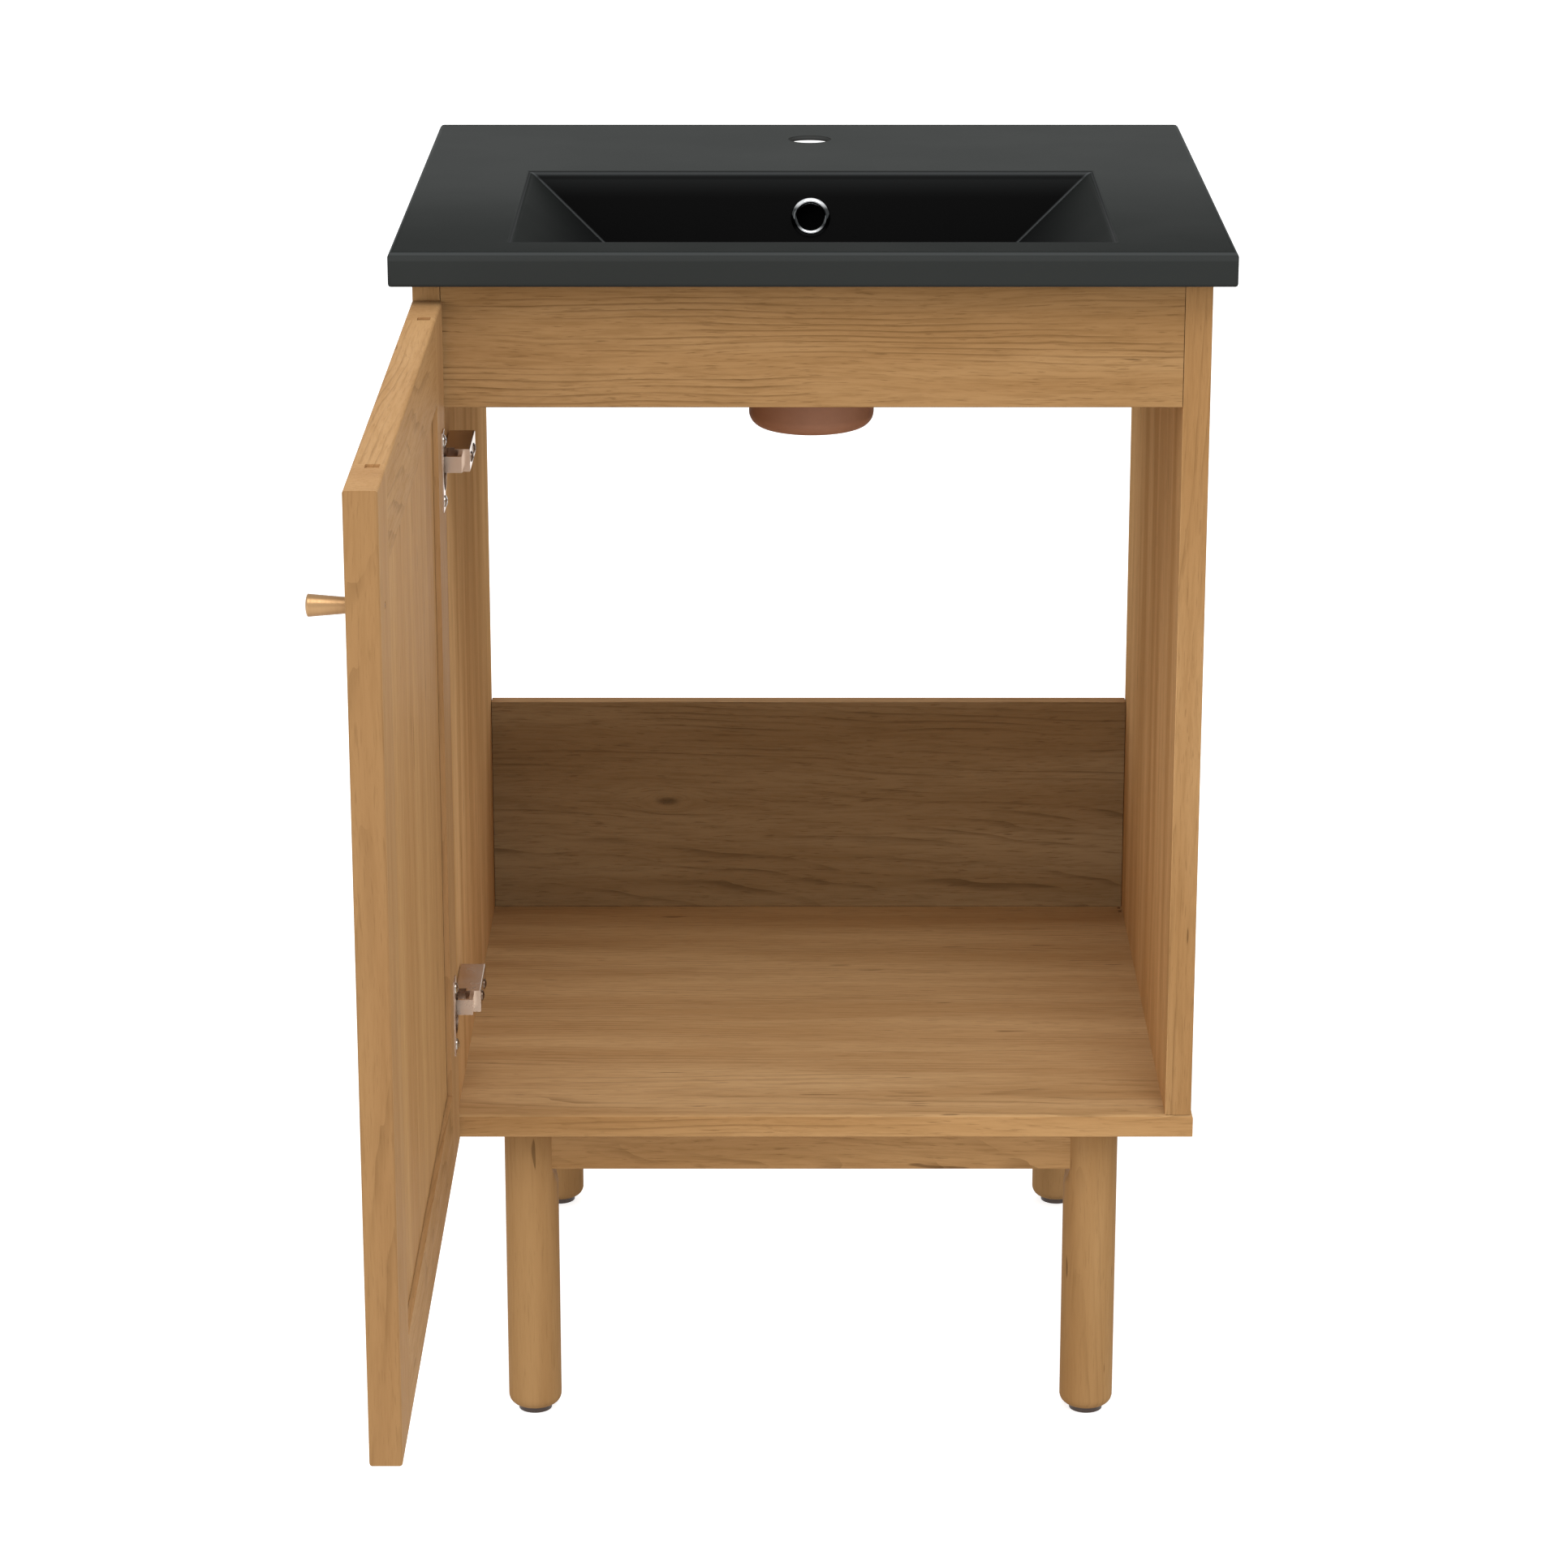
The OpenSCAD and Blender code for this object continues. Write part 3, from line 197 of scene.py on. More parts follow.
# %% The oak recipe
def oak(name, grain, cut, middle=(0, 0, 0), light="#BB9365", deep="#A87F52", dark="#6E4E2C",
        strength=1.0, tint=(1, 1, 1), gloss=0.03, knot=None, painted_side_light=None):
    """Satin-lacquered oak. Grain is the axis it runs along. Cut is where the middle of the board
    lay in its log: how far along, and its two distances from the heart. Strength is that of the
    markings. The tint lightens or darkens the whole board, partly as painted light and shade. A
    painted side light is an axis, a side of it, and the tint of the faces on that side, which
    paints the light and shade that falls there."""
    material, tree, shader = new_material(name, Roughness=0.6, IOR=1.5, Specular_IOR_Level=gloss)
    turn = Euler(GRAIN_TURN[grain]).to_matrix()
    shift = Vector(cut) - turn @ Vector(middle)
    board = add_node(tree, "ShaderNodeTexCoord").outputs
    log = add_node(tree, "ShaderNodeMapping", {
        "Vector": board["Object"], "Rotation": GRAIN_TURN[grain], "Location": shift})
    fibre = pushed(tree, log, stretched_noise(tree, log, WANDER), (0.02, 0.026, 0.026))
    fibre = pushed(tree, fibre, stretched_noise(tree, log, WAVER), (0.01, 0.004, 0.004))
    if knot:
        fibre, spot = parted_by_knot(tree, log, fibre, turn @ Vector(knot) + shift)
    streak = growth_lines(tree, fibre)
    fine = stretched_noise(tree, fibre, FIBRES, Detail=3.0, Roughness=0.7)
    pore = add_node(tree, RAMP, (stretched_noise(tree, fibre, PORES), 0.58, 0.72), **SOFT)
    fleck = stretched_noise(tree, log, FLECKS, Detail=1.0)
    zone = add_node(tree, RAMP, (stretched_noise(tree, log, ZONES, Roughness=0.6), 0.3, 0.7), **SOFT)
    colour = add_node(tree, BLEND, {
        0: zone, 6: linear(light, tint), 7: linear(deep, tint)}, **COLOURS)
    layers = [  # a pattern, how much of it shows at most, and its colour
        (add_node(tree, RAMP, (fine, 0.4, 0.7), **SOFT), 0.28 * strength, "#8A653C"),
        (streak, 0.44 * strength, dark),
        (pore, 0.30 * strength, "#6B4C2C"),
        (add_node(tree, RAMP, (fleck, 0.74, 0.78), **SOFT), 0.55, "#4E351E")]
    for pattern, most, code in layers:
        weight = add_node(tree, MATH, (pattern, most), operation="MULTIPLY")
        colour = add_node(tree, BLEND, {0: weight, 6: colour, 7: linear(code, tint)}, **COLOURS)
    if knot:
        colour = add_node(tree, BLEND, {
            0: spot, 6: colour, 7: linear("#3E2A18", tint)}, **COLOURS)
    if painted_side_light:
        colour = with_painted_side_light(tree, colour, board["Normal"], painted_side_light)
    # The lacquer sinks a little over the open pores: rougher there, and a hair lower
    relief = add_node(tree, MATH, (fine, pore), operation="ADD")
    relief = add_node(tree, MATH, (relief, streak), operation="ADD")
    feed(shader, {
        "Base Color": colour,
        "Roughness": add_node(tree, RAMP, (fine, 0.3, 0.7, 0.55, 0.68), **SOFT),
        "Normal": add_node(tree, "ShaderNodeBump", {
            "Height": relief, "Strength": 0.3, "Distance": 0.05 * MM}, invert=True)})
    return material


# %% One cut of oak for each board
KNOT = (-0.121, 0.523, 0.359)  # on the face of the back panel
# Painted light: the side panels' inner faces are tinted much lighter, standing in for light that
# reaches them
INNER_FACES_PAINTED_LIGHT = (1.50, 1.62, 1.76)  # tint of the side panels' inner faces
PALE_DEEP = "#AF865A"  # a calmer board: its deep stretches are nearly as light as the rest
# A board's tint is partly painted light and shade: it lightens or darkens the whole board to make up
# for how much light reaches it
OAK_CUTS = {  # grain axis, place in the log, and how this board differs
    "front_rail": ("X", (0.30, 0.035, 0.115), {"tint": (0.89, 0.89, 0.87), "strength": 1.35}),
    "back_rail": ("X", (1.10, 0.05, 0.16), {}),
    # The back panel's front face is tinted darker and greyer: painted shade inside the cabinet
    "back_panel": ("X", (2.37, 0.06, 0.145), {
        "knot": KNOT, "strength": 1.35, "painted_side_light": ("Y", -1, (0.76, 0.90, 1.08))}),
    # The bottom board's top face is tinted lighter and paler: painted light and sheen on the shelf
    "bottom_board": ("X", (3.71, 0.04, 0.13), {
        "tint": (1.08, 1.08, 1.06), "painted_side_light": ("Z", 1, (1.12, 1.22, 1.37))}),
    "apron_front": ("X", (4.44, 0.06, 0.12), {"tint": (1.04, 1.04, 1.03), "strength": 1.2}),
    "apron_rear": ("X", (5.15, 0.07, 0.13), {}),
    "apron_left": ("Y", (6.26, 0.08, 0.10), {}),
    "apron_right": ("Y", (7.57, 0.05, 0.14), {}),
    "corner_blocks": ("X", (8.18, 0.09, 0.12), {}),
    # Both side panels get painted light on their inner faces
    "side_panel_left": ("Z", (0.89, 0.35, 0.14), {
        "strength": 0.9, "gloss": 0.0, "painted_side_light": ("X", 1, INNER_FACES_PAINTED_LIGHT)}),
    "side_panel_right": ("Z", (1.50, 0.36, 0.17), {
        "strength": 0.9, "gloss": 0.0, "painted_side_light": ("X", -1, INNER_FACES_PAINTED_LIGHT)}),
    "door_stile_hinge": ("Z", (2.11, 0.17, 0.05), {"strength": 0.6, "deep": PALE_DEEP}),
    # The free stile's front face is tinted darker: painted shade, to tone down the light it gets
    "door_stile_free": ("Z", (3.22, 0.11, 0.10), {
        "strength": 0.6, "deep": PALE_DEEP, "painted_side_light": ("Y", -1, (0.80, 0.77, 0.73))}),
    "door_rail_top": ("Y", (4.33, 0.06, 0.15), {"strength": 0.75}),
    "door_rail_bottom": ("Y", (5.94, 0.08, 0.14), {"strength": 0.8}),
    "door_panel": ("Z", (6.65, 0.06, 0.16), {
        "strength": 0.7, "tint": (1.06, 1.05, 1.0), "deep": PALE_DEEP}),
}
# Counts the boards with light and shade painted on the faces of one side
print("with a leaf of another flitch:", sum("painted_side_light" in cut[2] for cut in OAK_CUTS.values()))


# %% Dress the boards
def dress(node, material):
    """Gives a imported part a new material. Its mesh and place stay as they are."""
    mesh = nodes[node].data
    mesh.materials.clear()
    mesh.materials.append(material)


for node, (grain, cut, options) in OAK_CUTS.items():
    low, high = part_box(node)
    dress(node, oak("satin_lacquered_oak_" + node, grain, cut, (low + high) / 2, **options))
print("boards in oak:", len(OAK_CUTS))

# %% [markdown]
# ## The black glaze and the bare clay
# The basin top is slip-cast vitreous china. Its show faces carry a matt black glaze whose colour
# paints its light and shade: dark grey on the deck, nearly black in the bowl. Glaze is a thin
# coat of glass, so it stays a plain non-metal with a wide soft highlight, and a very faint
# orange-peel ripple. Pale lines are painted over the edges as highlights, where the glaze also
# runs thin, and down the corners of the bowl, so those corners are looked up in the imported
# basin first. The drain boss underneath is left unglazed, so it keeps the brown of the fired clay.

# %% Weld a copy of a imported part
WELD_WITHIN = 0.002 * MM  # corners closer than this are one
FLAT_WITHIN = math.radians(0.2)  # facets that differ less lie in one plane


def welded_copy(node):
    """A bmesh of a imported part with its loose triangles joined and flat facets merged."""
    mesh = bmesh.new()
    mesh.from_mesh(nodes[node].data)
    bmesh.ops.remove_doubles(mesh, verts=mesh.verts, dist=WELD_WITHIN)
    bmesh.ops.dissolve_limit(mesh, angle_limit=FLAT_WITHIN, verts=mesh.verts, edges=mesh.edges)
    return mesh


# %% Find the rim and the corners of the bowl
BOWL_HALF, BOWL_FRONT, BOWL_BACK = 0.222, 0.036, 0.334  # the bowl's outline, a little wider
SHARP = math.radians(12)
HAIR = 0.01 * MM
top_low, top_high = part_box("vanity_top")
DECK = top_high.z

top = welded_copy("vanity_top")
rim, corner_lines = [], []
for edge in top.edges:
    if len(edge.link_faces) != 2 or edge.calc_face_angle(0.0) < SHARP:
        continue
    middle = (edge.verts[0].co + edge.verts[1].co) / 2
    if abs(middle.x) > BOWL_HALF or not BOWL_FRONT < middle.y < BOWL_BACK:
        continue
    upper, lower = sorted((vert.co.copy() for vert in edge.verts), key=lambda end: -end.z)
    if lower.z > DECK - HAIR:
        rim.append(edge)
    elif upper.z > DECK - HAIR and middle.x > 0 and not edge.is_convex:
        corner_lines.append((upper, lower))
corner_lines.sort(key=lambda line: -line[0].y)
print("rim edges:", len(rim), "corners on the right side:", len(corner_lines))

# %% Painted highlights and shade in the glaze
# The bands paint light and shade: pale highlights on the edges, dark shade under the bowl's rim
# Depths under the deck in millimetres where a band starts, is full, is full still, and ends
NOSE_BAND = (3.4, 1.8, 1.2, 0.2)      # a painted highlight on an edge, where the glaze also runs thin
SHOULDER_BAND = (7.5, 5.5, 1.2, 0.2)  # round the outer edge a wider painted highlight
SHADE_UNDER_RIM_BAND = (6.6, 5.0, 4.4, 3.0)  # and under the bowl's rim a band of painted shade
CORNER_FADED, CORNER_FULL, CORNER_PALE = 1.8 * MM, 0.5 * MM, 0.5  # half widths, and how pale


def band(tree, height, depths):
    """1 in a level band below the deck and 0 elsewhere, soft at both its edges."""
    start, full, still_full, end = (DECK - depth * MM for depth in depths)
    rising = add_node(tree, RAMP, (height, start, full), **SOFT)
    falling = add_node(tree, RAMP, (height, end, still_full), **SOFT)
    return add_node(tree, MATH, (rising, falling), operation="MULTIPLY")


def lines_in_corners(tree, place):
    """Soft pale lines painted down the corners of the bowl as highlights. The left side mirrors the
    right.
    """
    mirrored = add_node(tree, VECTOR_MATH, (place,), operation="ABSOLUTE")
    lines = 0.0
    for upper, lower in corner_lines:
        away = add_node(tree, VECTOR_MATH, (mirrored, upper), operation="SUBTRACT")
        off = add_node(tree, VECTOR_MATH, (away, (lower - upper).normalized()),
                       operation="CROSS_PRODUCT")
        far = add_node(tree, VECTOR_MATH, (off,), operation="LENGTH")
        line = add_node(tree, RAMP, (far, CORNER_FADED, CORNER_FULL, 0.0, CORNER_PALE), **SOFT)
        lines = add_node(tree, MATH, (lines, line), operation="MAXIMUM")
    return lines


# %% The glaze recipe
# Painted light: the deck is painted darker at its front and lighter towards its back
DECK_FADE = 0.38  # the deck goes from its front colour to its back colour over this depth


def matt_glaze(name, front, back, deep, depth, nose, shade_under_rim=0.0, shoulder=0.0):
    """A matt black glaze in three colours that paint its light and shade: at the deck's front,
    darker, and its back, lighter, and deep down, which it reaches at a depth in metres. The last
    three say how much of each band shows: the painted highlight on an edge, the painted shade
    under the rim, and the wider painted highlight round the outer edge."""
    material, tree, shader = new_material(name, Roughness=0.55, IOR=1.5, Specular_IOR_Level=0.004)
    place = add_node(tree, "ShaderNodeTexCoord").outputs["Object"]
    parts = add_node(tree, "ShaderNodeSeparateXYZ", (place,)).outputs
    height = parts["Z"]
    # Painted light and shade: the deck darker at the front and lighter at the back, and another colour
    # deep down below the deck
    colour = add_node(tree, BLEND, {
        0: add_node(tree, RAMP, (parts["Y"], 0.0, DECK_FADE), **SOFT),
        6: linear(front), 7: linear(back)}, **COLOURS)
    colour = add_node(tree, BLEND, {
        0: add_node(tree, RAMP, (height, DECK, DECK - depth), **SOFT),
        6: colour, 7: linear(deep)}, **COLOURS)
    edge = add_node(tree, MATH, (band(tree, height, NOSE_BAND), nose), operation="MULTIPLY")
    pale = add_node(tree, MATH, (lines_in_corners(tree, place), edge), operation="MAXIMUM")
    if shoulder:
        wide = band(tree, height, SHOULDER_BAND)
        wide = add_node(tree, MATH, (wide, shoulder), operation="MULTIPLY")
        pale = add_node(tree, MATH, (pale, wide), operation="MAXIMUM")
    dark = band(tree, height, SHADE_UNDER_RIM_BAND)
    dark = add_node(tree, MATH, (dark, shade_under_rim), operation="MULTIPLY")
    # Paints the highlights in pale grey and the shade under the rim in black
    for weight, code in ((pale, "#66696A"), (dark, "#0A0A0A")):
        colour = add_node(tree, BLEND, {0: weight, 6: colour, 7: linear(code)}, **COLOURS)
    cloud = add_node(tree, "ShaderNodeTexNoise", {"Vector": place, "Scale": 7.0, "Detail": 3.0})
    # The orange peel is about 6 mm from crest to crest and microns deep
    peel = add_node(tree, "ShaderNodeTexNoise", {"Vector": place, "Scale": 160.0, "Detail": 2.0})
    feed(shader, {
        "Base Color": colour,
        "Roughness": add_node(tree, RAMP, (cloud, 0.3, 0.7, 0.50, 0.58), **SOFT),
        "Normal": add_node(tree, "ShaderNodeBump", {
            "Height": peel, "Strength": 0.2, "Distance": 0.04 * MM})})
    return material


# %% Ceramic materials
# One black glaze in painted light and shade: the deck, and darker shaded copies in the bowl and on its
# sides
glaze = matt_glaze(
    "matt_black_glaze", "#262827", "#3B3D3C", "#323433", 6 * MM, 0.26, shoulder=0.09)
bowl_glaze = matt_glaze(
    "matt_black_glaze_shaded_in_bowl", "#252626", "#252626", "#121212", 22 * MM, 0.24, shade_under_rim=0.4)
side_glaze = matt_glaze(
    "matt_black_glaze_shaded_on_bowl_sides", "#242625", "#242625", "#1A1B1B", 50 * MM, 0.0)

# Fired clay is mottled over some 15 mm and has a grit of about 1 mm
clay, tree, shader = new_material("bare_fired_clay", Roughness=0.7, IOR=1.5)
place = add_node(tree, "ShaderNodeTexCoord").outputs["Object"]
mottle = add_node(tree, "ShaderNodeTexNoise", {
    "Vector": place, "Scale": 60.0, "Detail": 5.0, "Roughness": 0.6})
grit = add_node(tree, "ShaderNodeTexNoise", {"Vector": place, "Scale": 900.0, "Detail": 2.0})
feed(shader, {
    "Base Color": add_node(tree, BLEND, {
        0: mottle, 6: linear("#98694F"), 7: linear("#AE7B5C")}, **COLOURS),
    "Normal": add_node(tree, "ShaderNodeBump", {
        "Height": grit, "Strength": 0.4, "Distance": 0.1 * MM})})
print("ceramic:", glaze.name, bowl_glaze.name, side_glaze.name, clay.name)

# %% [markdown]
# ## Metals and plastic
# The hinges are steel pressings plated in a warm nickel, the screws are zinc plated or
# blackened, the overflow ring is polished chrome and the knob is turned brass, brushed round
# its axis. What tells them apart is their tint and how sharp their reflections are, so each is
# a metal with its own colour and roughness, and light scratches or rolling marks.

# %% Metal finishes
METALS = {  # name: colour, roughness, how many of its marks fit in a metre on X, Y, Z, relief in mm
    "warm_nickel_plate": ("#C6B2A1", 0.24, (60, 60, 60), 0.002),
    "zinc_plated_steel": ("#BDBCB8", 0.22, (300, 300, 300), 0.002),
    "blackened_steel": ("#7C6C60", 0.30, (300, 300, 300), 0.002),
    "polished_chrome": ("#D6D8DA", 0.06, (200, 200, 200), 0.001),
    "brushed_brass": ("#A88660", 0.38, (1500, 20, 20), 0.006),
}
metal, shader_of = {}, {}
for name, (colour, roughness, marks, relief) in METALS.items():
    metal[name], tree, shader_of[name] = new_material(
        name, Base_Color=linear(colour), Metallic=1.0, Roughness=roughness)
    place = add_node(tree, "ShaderNodeMapping", {
        "Vector": add_node(tree, "ShaderNodeTexCoord").outputs["Object"], "Scale": marks})
    mark = add_node(tree, "ShaderNodeTexNoise", {"Vector": place, "Scale": 1.0, "Detail": 3.0})
    feed(shader_of[name], {
        "Roughness": add_node(tree, RAMP, (mark, 0.3, 0.7, roughness * 0.85, roughness * 1.2)),
        "Normal": add_node(tree, "ShaderNodeBump", {
            "Height": mark, "Strength": 0.3, "Distance": relief * MM})})
print("metals:", sorted(metal))

# %% Find the overflow ring
WALL_LEAN = math.radians(10)
FLANGE_THICK = 2.2 * MM
ring_axis = Vector((0, -math.cos(WALL_LEAN), math.sin(WALL_LEAN)))
up_wall = ring_axis.cross(Vector((1, 0, 0)))


def reach(direction):
    """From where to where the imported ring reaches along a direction."""
    places = [vert.co.dot(direction) for vert in nodes["overflow_ring"].data.vertices]
    return min(places), max(places)


# Its centre on the wall: the middle both ways, and under the flange
ring_origin = sum(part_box("overflow_ring"), Vector()) / 2
ring_origin.yz = (up_wall * sum(reach(up_wall)) / 2
                  + ring_axis * (reach(ring_axis)[1] - FLANGE_THICK)).yz
print("ring centre:", [round(c, 4) for c in ring_origin])

# %% The chrome of the overflow ring
# Low in a black bowl, chrome mirrors the bowl at its sides and the sky above and below. Its
# colour paints that reflection: dark at its sides, with a bright crescent at its top and one at
# its bottom.
CRESCENT_ENDS, CRESCENT_FULL = 6 * MM, 11.5 * MM  # heights above or below the ring's centre
tree = metal["polished_chrome"].node_tree
height = add_node(tree, "ShaderNodeSeparateXYZ", (
    add_node(tree, "ShaderNodeTexCoord").outputs["Object"],)).outputs["Z"]
rise = add_node(tree, MATH, (height, ring_origin.z), operation="SUBTRACT")
rise = add_node(tree, MATH, (rise,), operation="ABSOLUTE")
# Painted reflection: dark at the sides, bright crescents above and below the centre
feed(shader_of["polished_chrome"], {"Base Color": add_node(tree, BLEND, {
    0: add_node(tree, RAMP, (rise, CRESCENT_ENDS, CRESCENT_FULL), **SOFT),
    6: linear("#3A3C3D"), 7: linear("#E4E6E8")}, **COLOURS)})
print("chrome nodes:", len(tree.nodes))

# %% Plastic and beech
# Injection-moulded polyamide, dark brown, with a fine eroded texture of about 0.5 mm
glide, tree, shader = new_material(
    "brown_moulded_polyamide", Base_Color=linear("#3B2A20"), Roughness=0.45, IOR=1.53)
eroded = add_node(tree, "ShaderNodeTexNoise", {
    "Vector": add_node(tree, "ShaderNodeTexCoord").outputs["Object"],
    "Scale": 2000.0, "Detail": 1.0})
feed(shader, {"Normal": add_node(tree, "ShaderNodeBump", {
    "Height": eroded, "Strength": 0.3, "Distance": 0.05 * MM})})
beech = oak("fluted_beech_dowel", "X", (9.1, 1.2, 2.3), light="#D8B98C", dark="#B08A5C",
            strength=0.4)

FINISHES = {
    glide: ["glide_front_left", "glide_front_right", "glide_rear_left", "glide_rear_right"],
    beech: ["board_dowels", "apron_dowels"],
    metal["zinc_plated_steel"]: [
        "side_screws", "corner_plates", "hanger_bolts", "hanger_nuts", "plate_wood_screws",
        "apron_screws", "mounting_screws", "knob_screw", "cup_screws", "hinge_pin_upper",
        "hinge_pin_lower"],
    metal["blackened_steel"]: ["adjusting_screws"],
    metal["warm_nickel_plate"]: [
        "hinge_arm_upper", "hinge_arm_lower", "mounting_plate_upper", "mounting_plate_lower",
        "hinge_cup_upper", "hinge_cup_lower"],
    metal["polished_chrome"]: ["overflow_ring"],
    metal["brushed_brass"]: ["knob", "panel_pins"],
    glaze: ["vanity_top"],
}
for material, names in FINISHES.items():
    for node in names:
        dress(node, material)
print("dressed parts:", len(OAK_CUTS) + sum(len(names) for names in FINISHES.values()))

# %% [markdown]
# ## The basin top
# Slip casting leaves no sharp edge anywhere: the rim of the bowl rolls over in a soft curve.
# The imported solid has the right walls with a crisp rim, so in the welded copy of it the rim's
# edges are rounded. Faces that no glaze reaches get the clay.

# %% A finished piece
SMOOTH_BELOW = math.radians(35)


def finished(name, mesh, node_names, materials):
    """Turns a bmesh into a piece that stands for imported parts: shaded, dressed and riding."""
    data = bpy.data.meshes.new(name)
    mesh.normal_update()
    for face in mesh.faces:
        face.smooth = True
    for edge in mesh.edges:
        if len(edge.link_faces) == 2:
            edge.smooth = edge.calc_face_angle(0.0) < SMOOTH_BELOW
    open_edges = sum(1 for edge in mesh.edges if len(edge.link_faces) != 2)
    mesh.to_mesh(data)
    mesh.free()
    for material in materials:
        data.materials.append(material)
    piece = bpy.data.objects.new(name, data)
    bpy.context.scene.collection.objects.link(piece)
    # Beside a rolled edge a big flat face sets the normals, so that it stays flat to the light
    piece.modifiers.new("flat_faces_win", "WEIGHTED_NORMAL").keep_sharp = True
    piece.data = bpy.data.meshes.new_from_object(
        piece.evaluated_get(bpy.context.evaluated_depsgraph_get()))
    piece.modifiers.clear()
    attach(piece, body_of[node_names[0]])
    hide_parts(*node_names)
    print(name, "faces:", len(piece.data.polygons), "open edges:", open_edges)


# %% Round the rim of the bowl
RIM_ROLL = 3.5 * MM
strips = bmesh.ops.bevel(top, geom=rim, offset=RIM_ROLL, segments=4, profile=0.5,
                         affect="EDGES", clamp_overlap=True)["faces"]
lowest = min(vert.co.z for face in strips for vert in face.verts)
print("the rim is rolled to", round((DECK - lowest) / MM, 2), "mm below the deck")

# %% Glaze what shows, and leave the rest bare
GLAZED, BARE, IN_BOWL, ON_SIDE = 0, 1, 2, 3
DRAIN = Vector((0, 0.186))  # the bowl's middle, where it drains
DRAIN_RADIUS = 0.033  # a little over that of the waste's seat
DUCT_HALF, DUCT_BACK = 0.0165, 0.375  # the overflow's duct, behind the bowl
BOSS_TOP = 0.826  # below this height only the drain is glazed
UNDERSIDE = 0.9142  # from just above the underside of the deck the glaze goes all the way up
UPWARD, SIDEWAYS, DOWNWARD = 0.3, 0.35, -0.99  # parts of a normal that count as facing so

top.normal_update()
for face in top.faces:
    centre, normal = face.calc_center_median(), face.normal
    over_bowl = abs(centre.x) < BOWL_HALF and BOWL_FRONT < centre.y < BOWL_BACK
    in_duct = (abs(centre.x) < DUCT_HALF and BOWL_BACK - 0.02 < centre.y < DUCT_BACK
               and centre.z < DECK - RIM_ROLL)
    from_drain = centre.to_2d() - DRAIN
    toward_drain = -from_drain.dot(normal.to_2d())
    inward = (toward_drain > 0 or normal.z > UPWARD) and centre.z < DECK - 5 * HAIR
    in_drain = from_drain.length < DRAIN_RADIUS and toward_drain > 0.5 * from_drain.length
    if (over_bowl and inward or in_duct) and centre.z > BOSS_TOP or in_drain:
        face.material_index = ON_SIDE if abs(normal.x) > SIDEWAYS else IN_BOWL
    elif centre.z > UNDERSIDE and not (normal.z < DOWNWARD and centre.z < top_low.z):
        face.material_index = GLAZED
    else:
        face.material_index = BARE
finished("basin_top", top, ["vanity_top"], [glaze, clay, bowl_glaze, side_glaze])

# %% [markdown]
# ## Turned parts
# The overflow ring and the knob are turned on a lathe, so each is an outline swept round an
# axis. A short function does in mesh code what the lathe does. The ring has a domed outer
# flange, a groove and a thinner inner lip, which catch the light as two bright arcs. The knob
# is a plain cone that widens to a slightly domed end.

# %% A lathe
def lathe(outline, origin, axis, closed, steps=96):
    """Sweeps (radius, height) points, in mm, round an axis. A closed outline makes a ring."""
    mesh = bmesh.new()
    turn = axis.to_track_quat("Z", "Y").to_matrix()
    rows = []
    for step in range(steps):
        angle = math.tau * step / steps
        spoke = Vector((math.cos(angle), math.sin(angle), 0))
        rows.append([mesh.verts.new(origin + turn @ (spoke * (r * MM) + Vector((0, 0, h * MM))))
                     for r, h in outline])
    count = len(outline)
    for step in range(steps):
        here, there = rows[step], rows[(step + 1) % steps]
        for i in range(count if closed else count - 1):
            j = (i + 1) % count
            mesh.faces.new([here[i], there[i], there[j], here[j]])
    if not closed:
        mesh.faces.new([row[0] for row in rows])
        mesh.faces.new([row[-1] for row in rows])
    bmesh.ops.recalc_face_normals(mesh, faces=mesh.faces)
    return mesh


def arc(middle, radius, start, stop, steps):
    """Points of an outline on an arc, in millimetres and degrees."""
    angles = [math.radians(start + (stop - start) * i / steps) for i in range(steps + 1)]
    return [(middle[0] + radius * math.cos(angle), middle[1] + radius * math.sin(angle))
            for angle in angles]


# %% The overflow ring
ring_outline = (
    [(15.45, 0.0)] + arc((12.28, -1.63), 3.66, 30, 85, 12)  # outer flange, falling outward
    + [(12.4, 1.0), (12.15, 1.0)]                           # a narrow groove
    + arc((12.18, -0.47), 2.08, 95, 155, 10)                # inner lip, falling inward
    + [(10.3, -8.8), (12.3, -8.8), (12.3, 0.0)])            # the tube in the wall
finished("overflow_trim_ring", lathe(ring_outline, ring_origin, ring_axis, True),
         ["overflow_ring"], [metal["polished_chrome"]])

# %% The knob
# Millimetres: the length, the radii of the neck, the middle and the end, the dome, the arris
KNOB_LONG, NECK, WAIST, END, DOME, ARRIS = 28.0, 5.1, 6.2, 7.3, 20.0, 0.6
knob_low, knob_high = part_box("knob")
knob_root = (knob_low + knob_high) / 2
knob_root.x = knob_high.x
edge_height = KNOB_LONG - (DOME - math.sqrt(DOME ** 2 - END ** 2))
knob_outline = (
    [(NECK - 0.3, 0.0), (NECK, 0.3), (WAIST, edge_height / 2)]
    + arc((END - ARRIS, edge_height - ARRIS), ARRIS, 0, 68, 5)
    + [(r, KNOB_LONG - DOME + math.sqrt(DOME ** 2 - r ** 2)) for r in (6.3, 5, 3.5, 2, 0.6)])
finished("turned_knob", lathe(knob_outline, knob_root, Vector((-1, 0, 0)), False),
         ["knob"], [metal["brushed_brass"]])

# %% [markdown]
# ## Screws
# All the screws are one pattern in several sizes: a low domed head with a cross recess and a
# plain shank. That is work for Geometry Nodes. The tree builds one screw from named sizes and
# sets a copy on every point of a small carrier mesh, turned to the direction stored on the
# point, with a small random twist, because nobody stops every cross at the same angle. The
# places and sizes aren't typed in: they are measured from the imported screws.

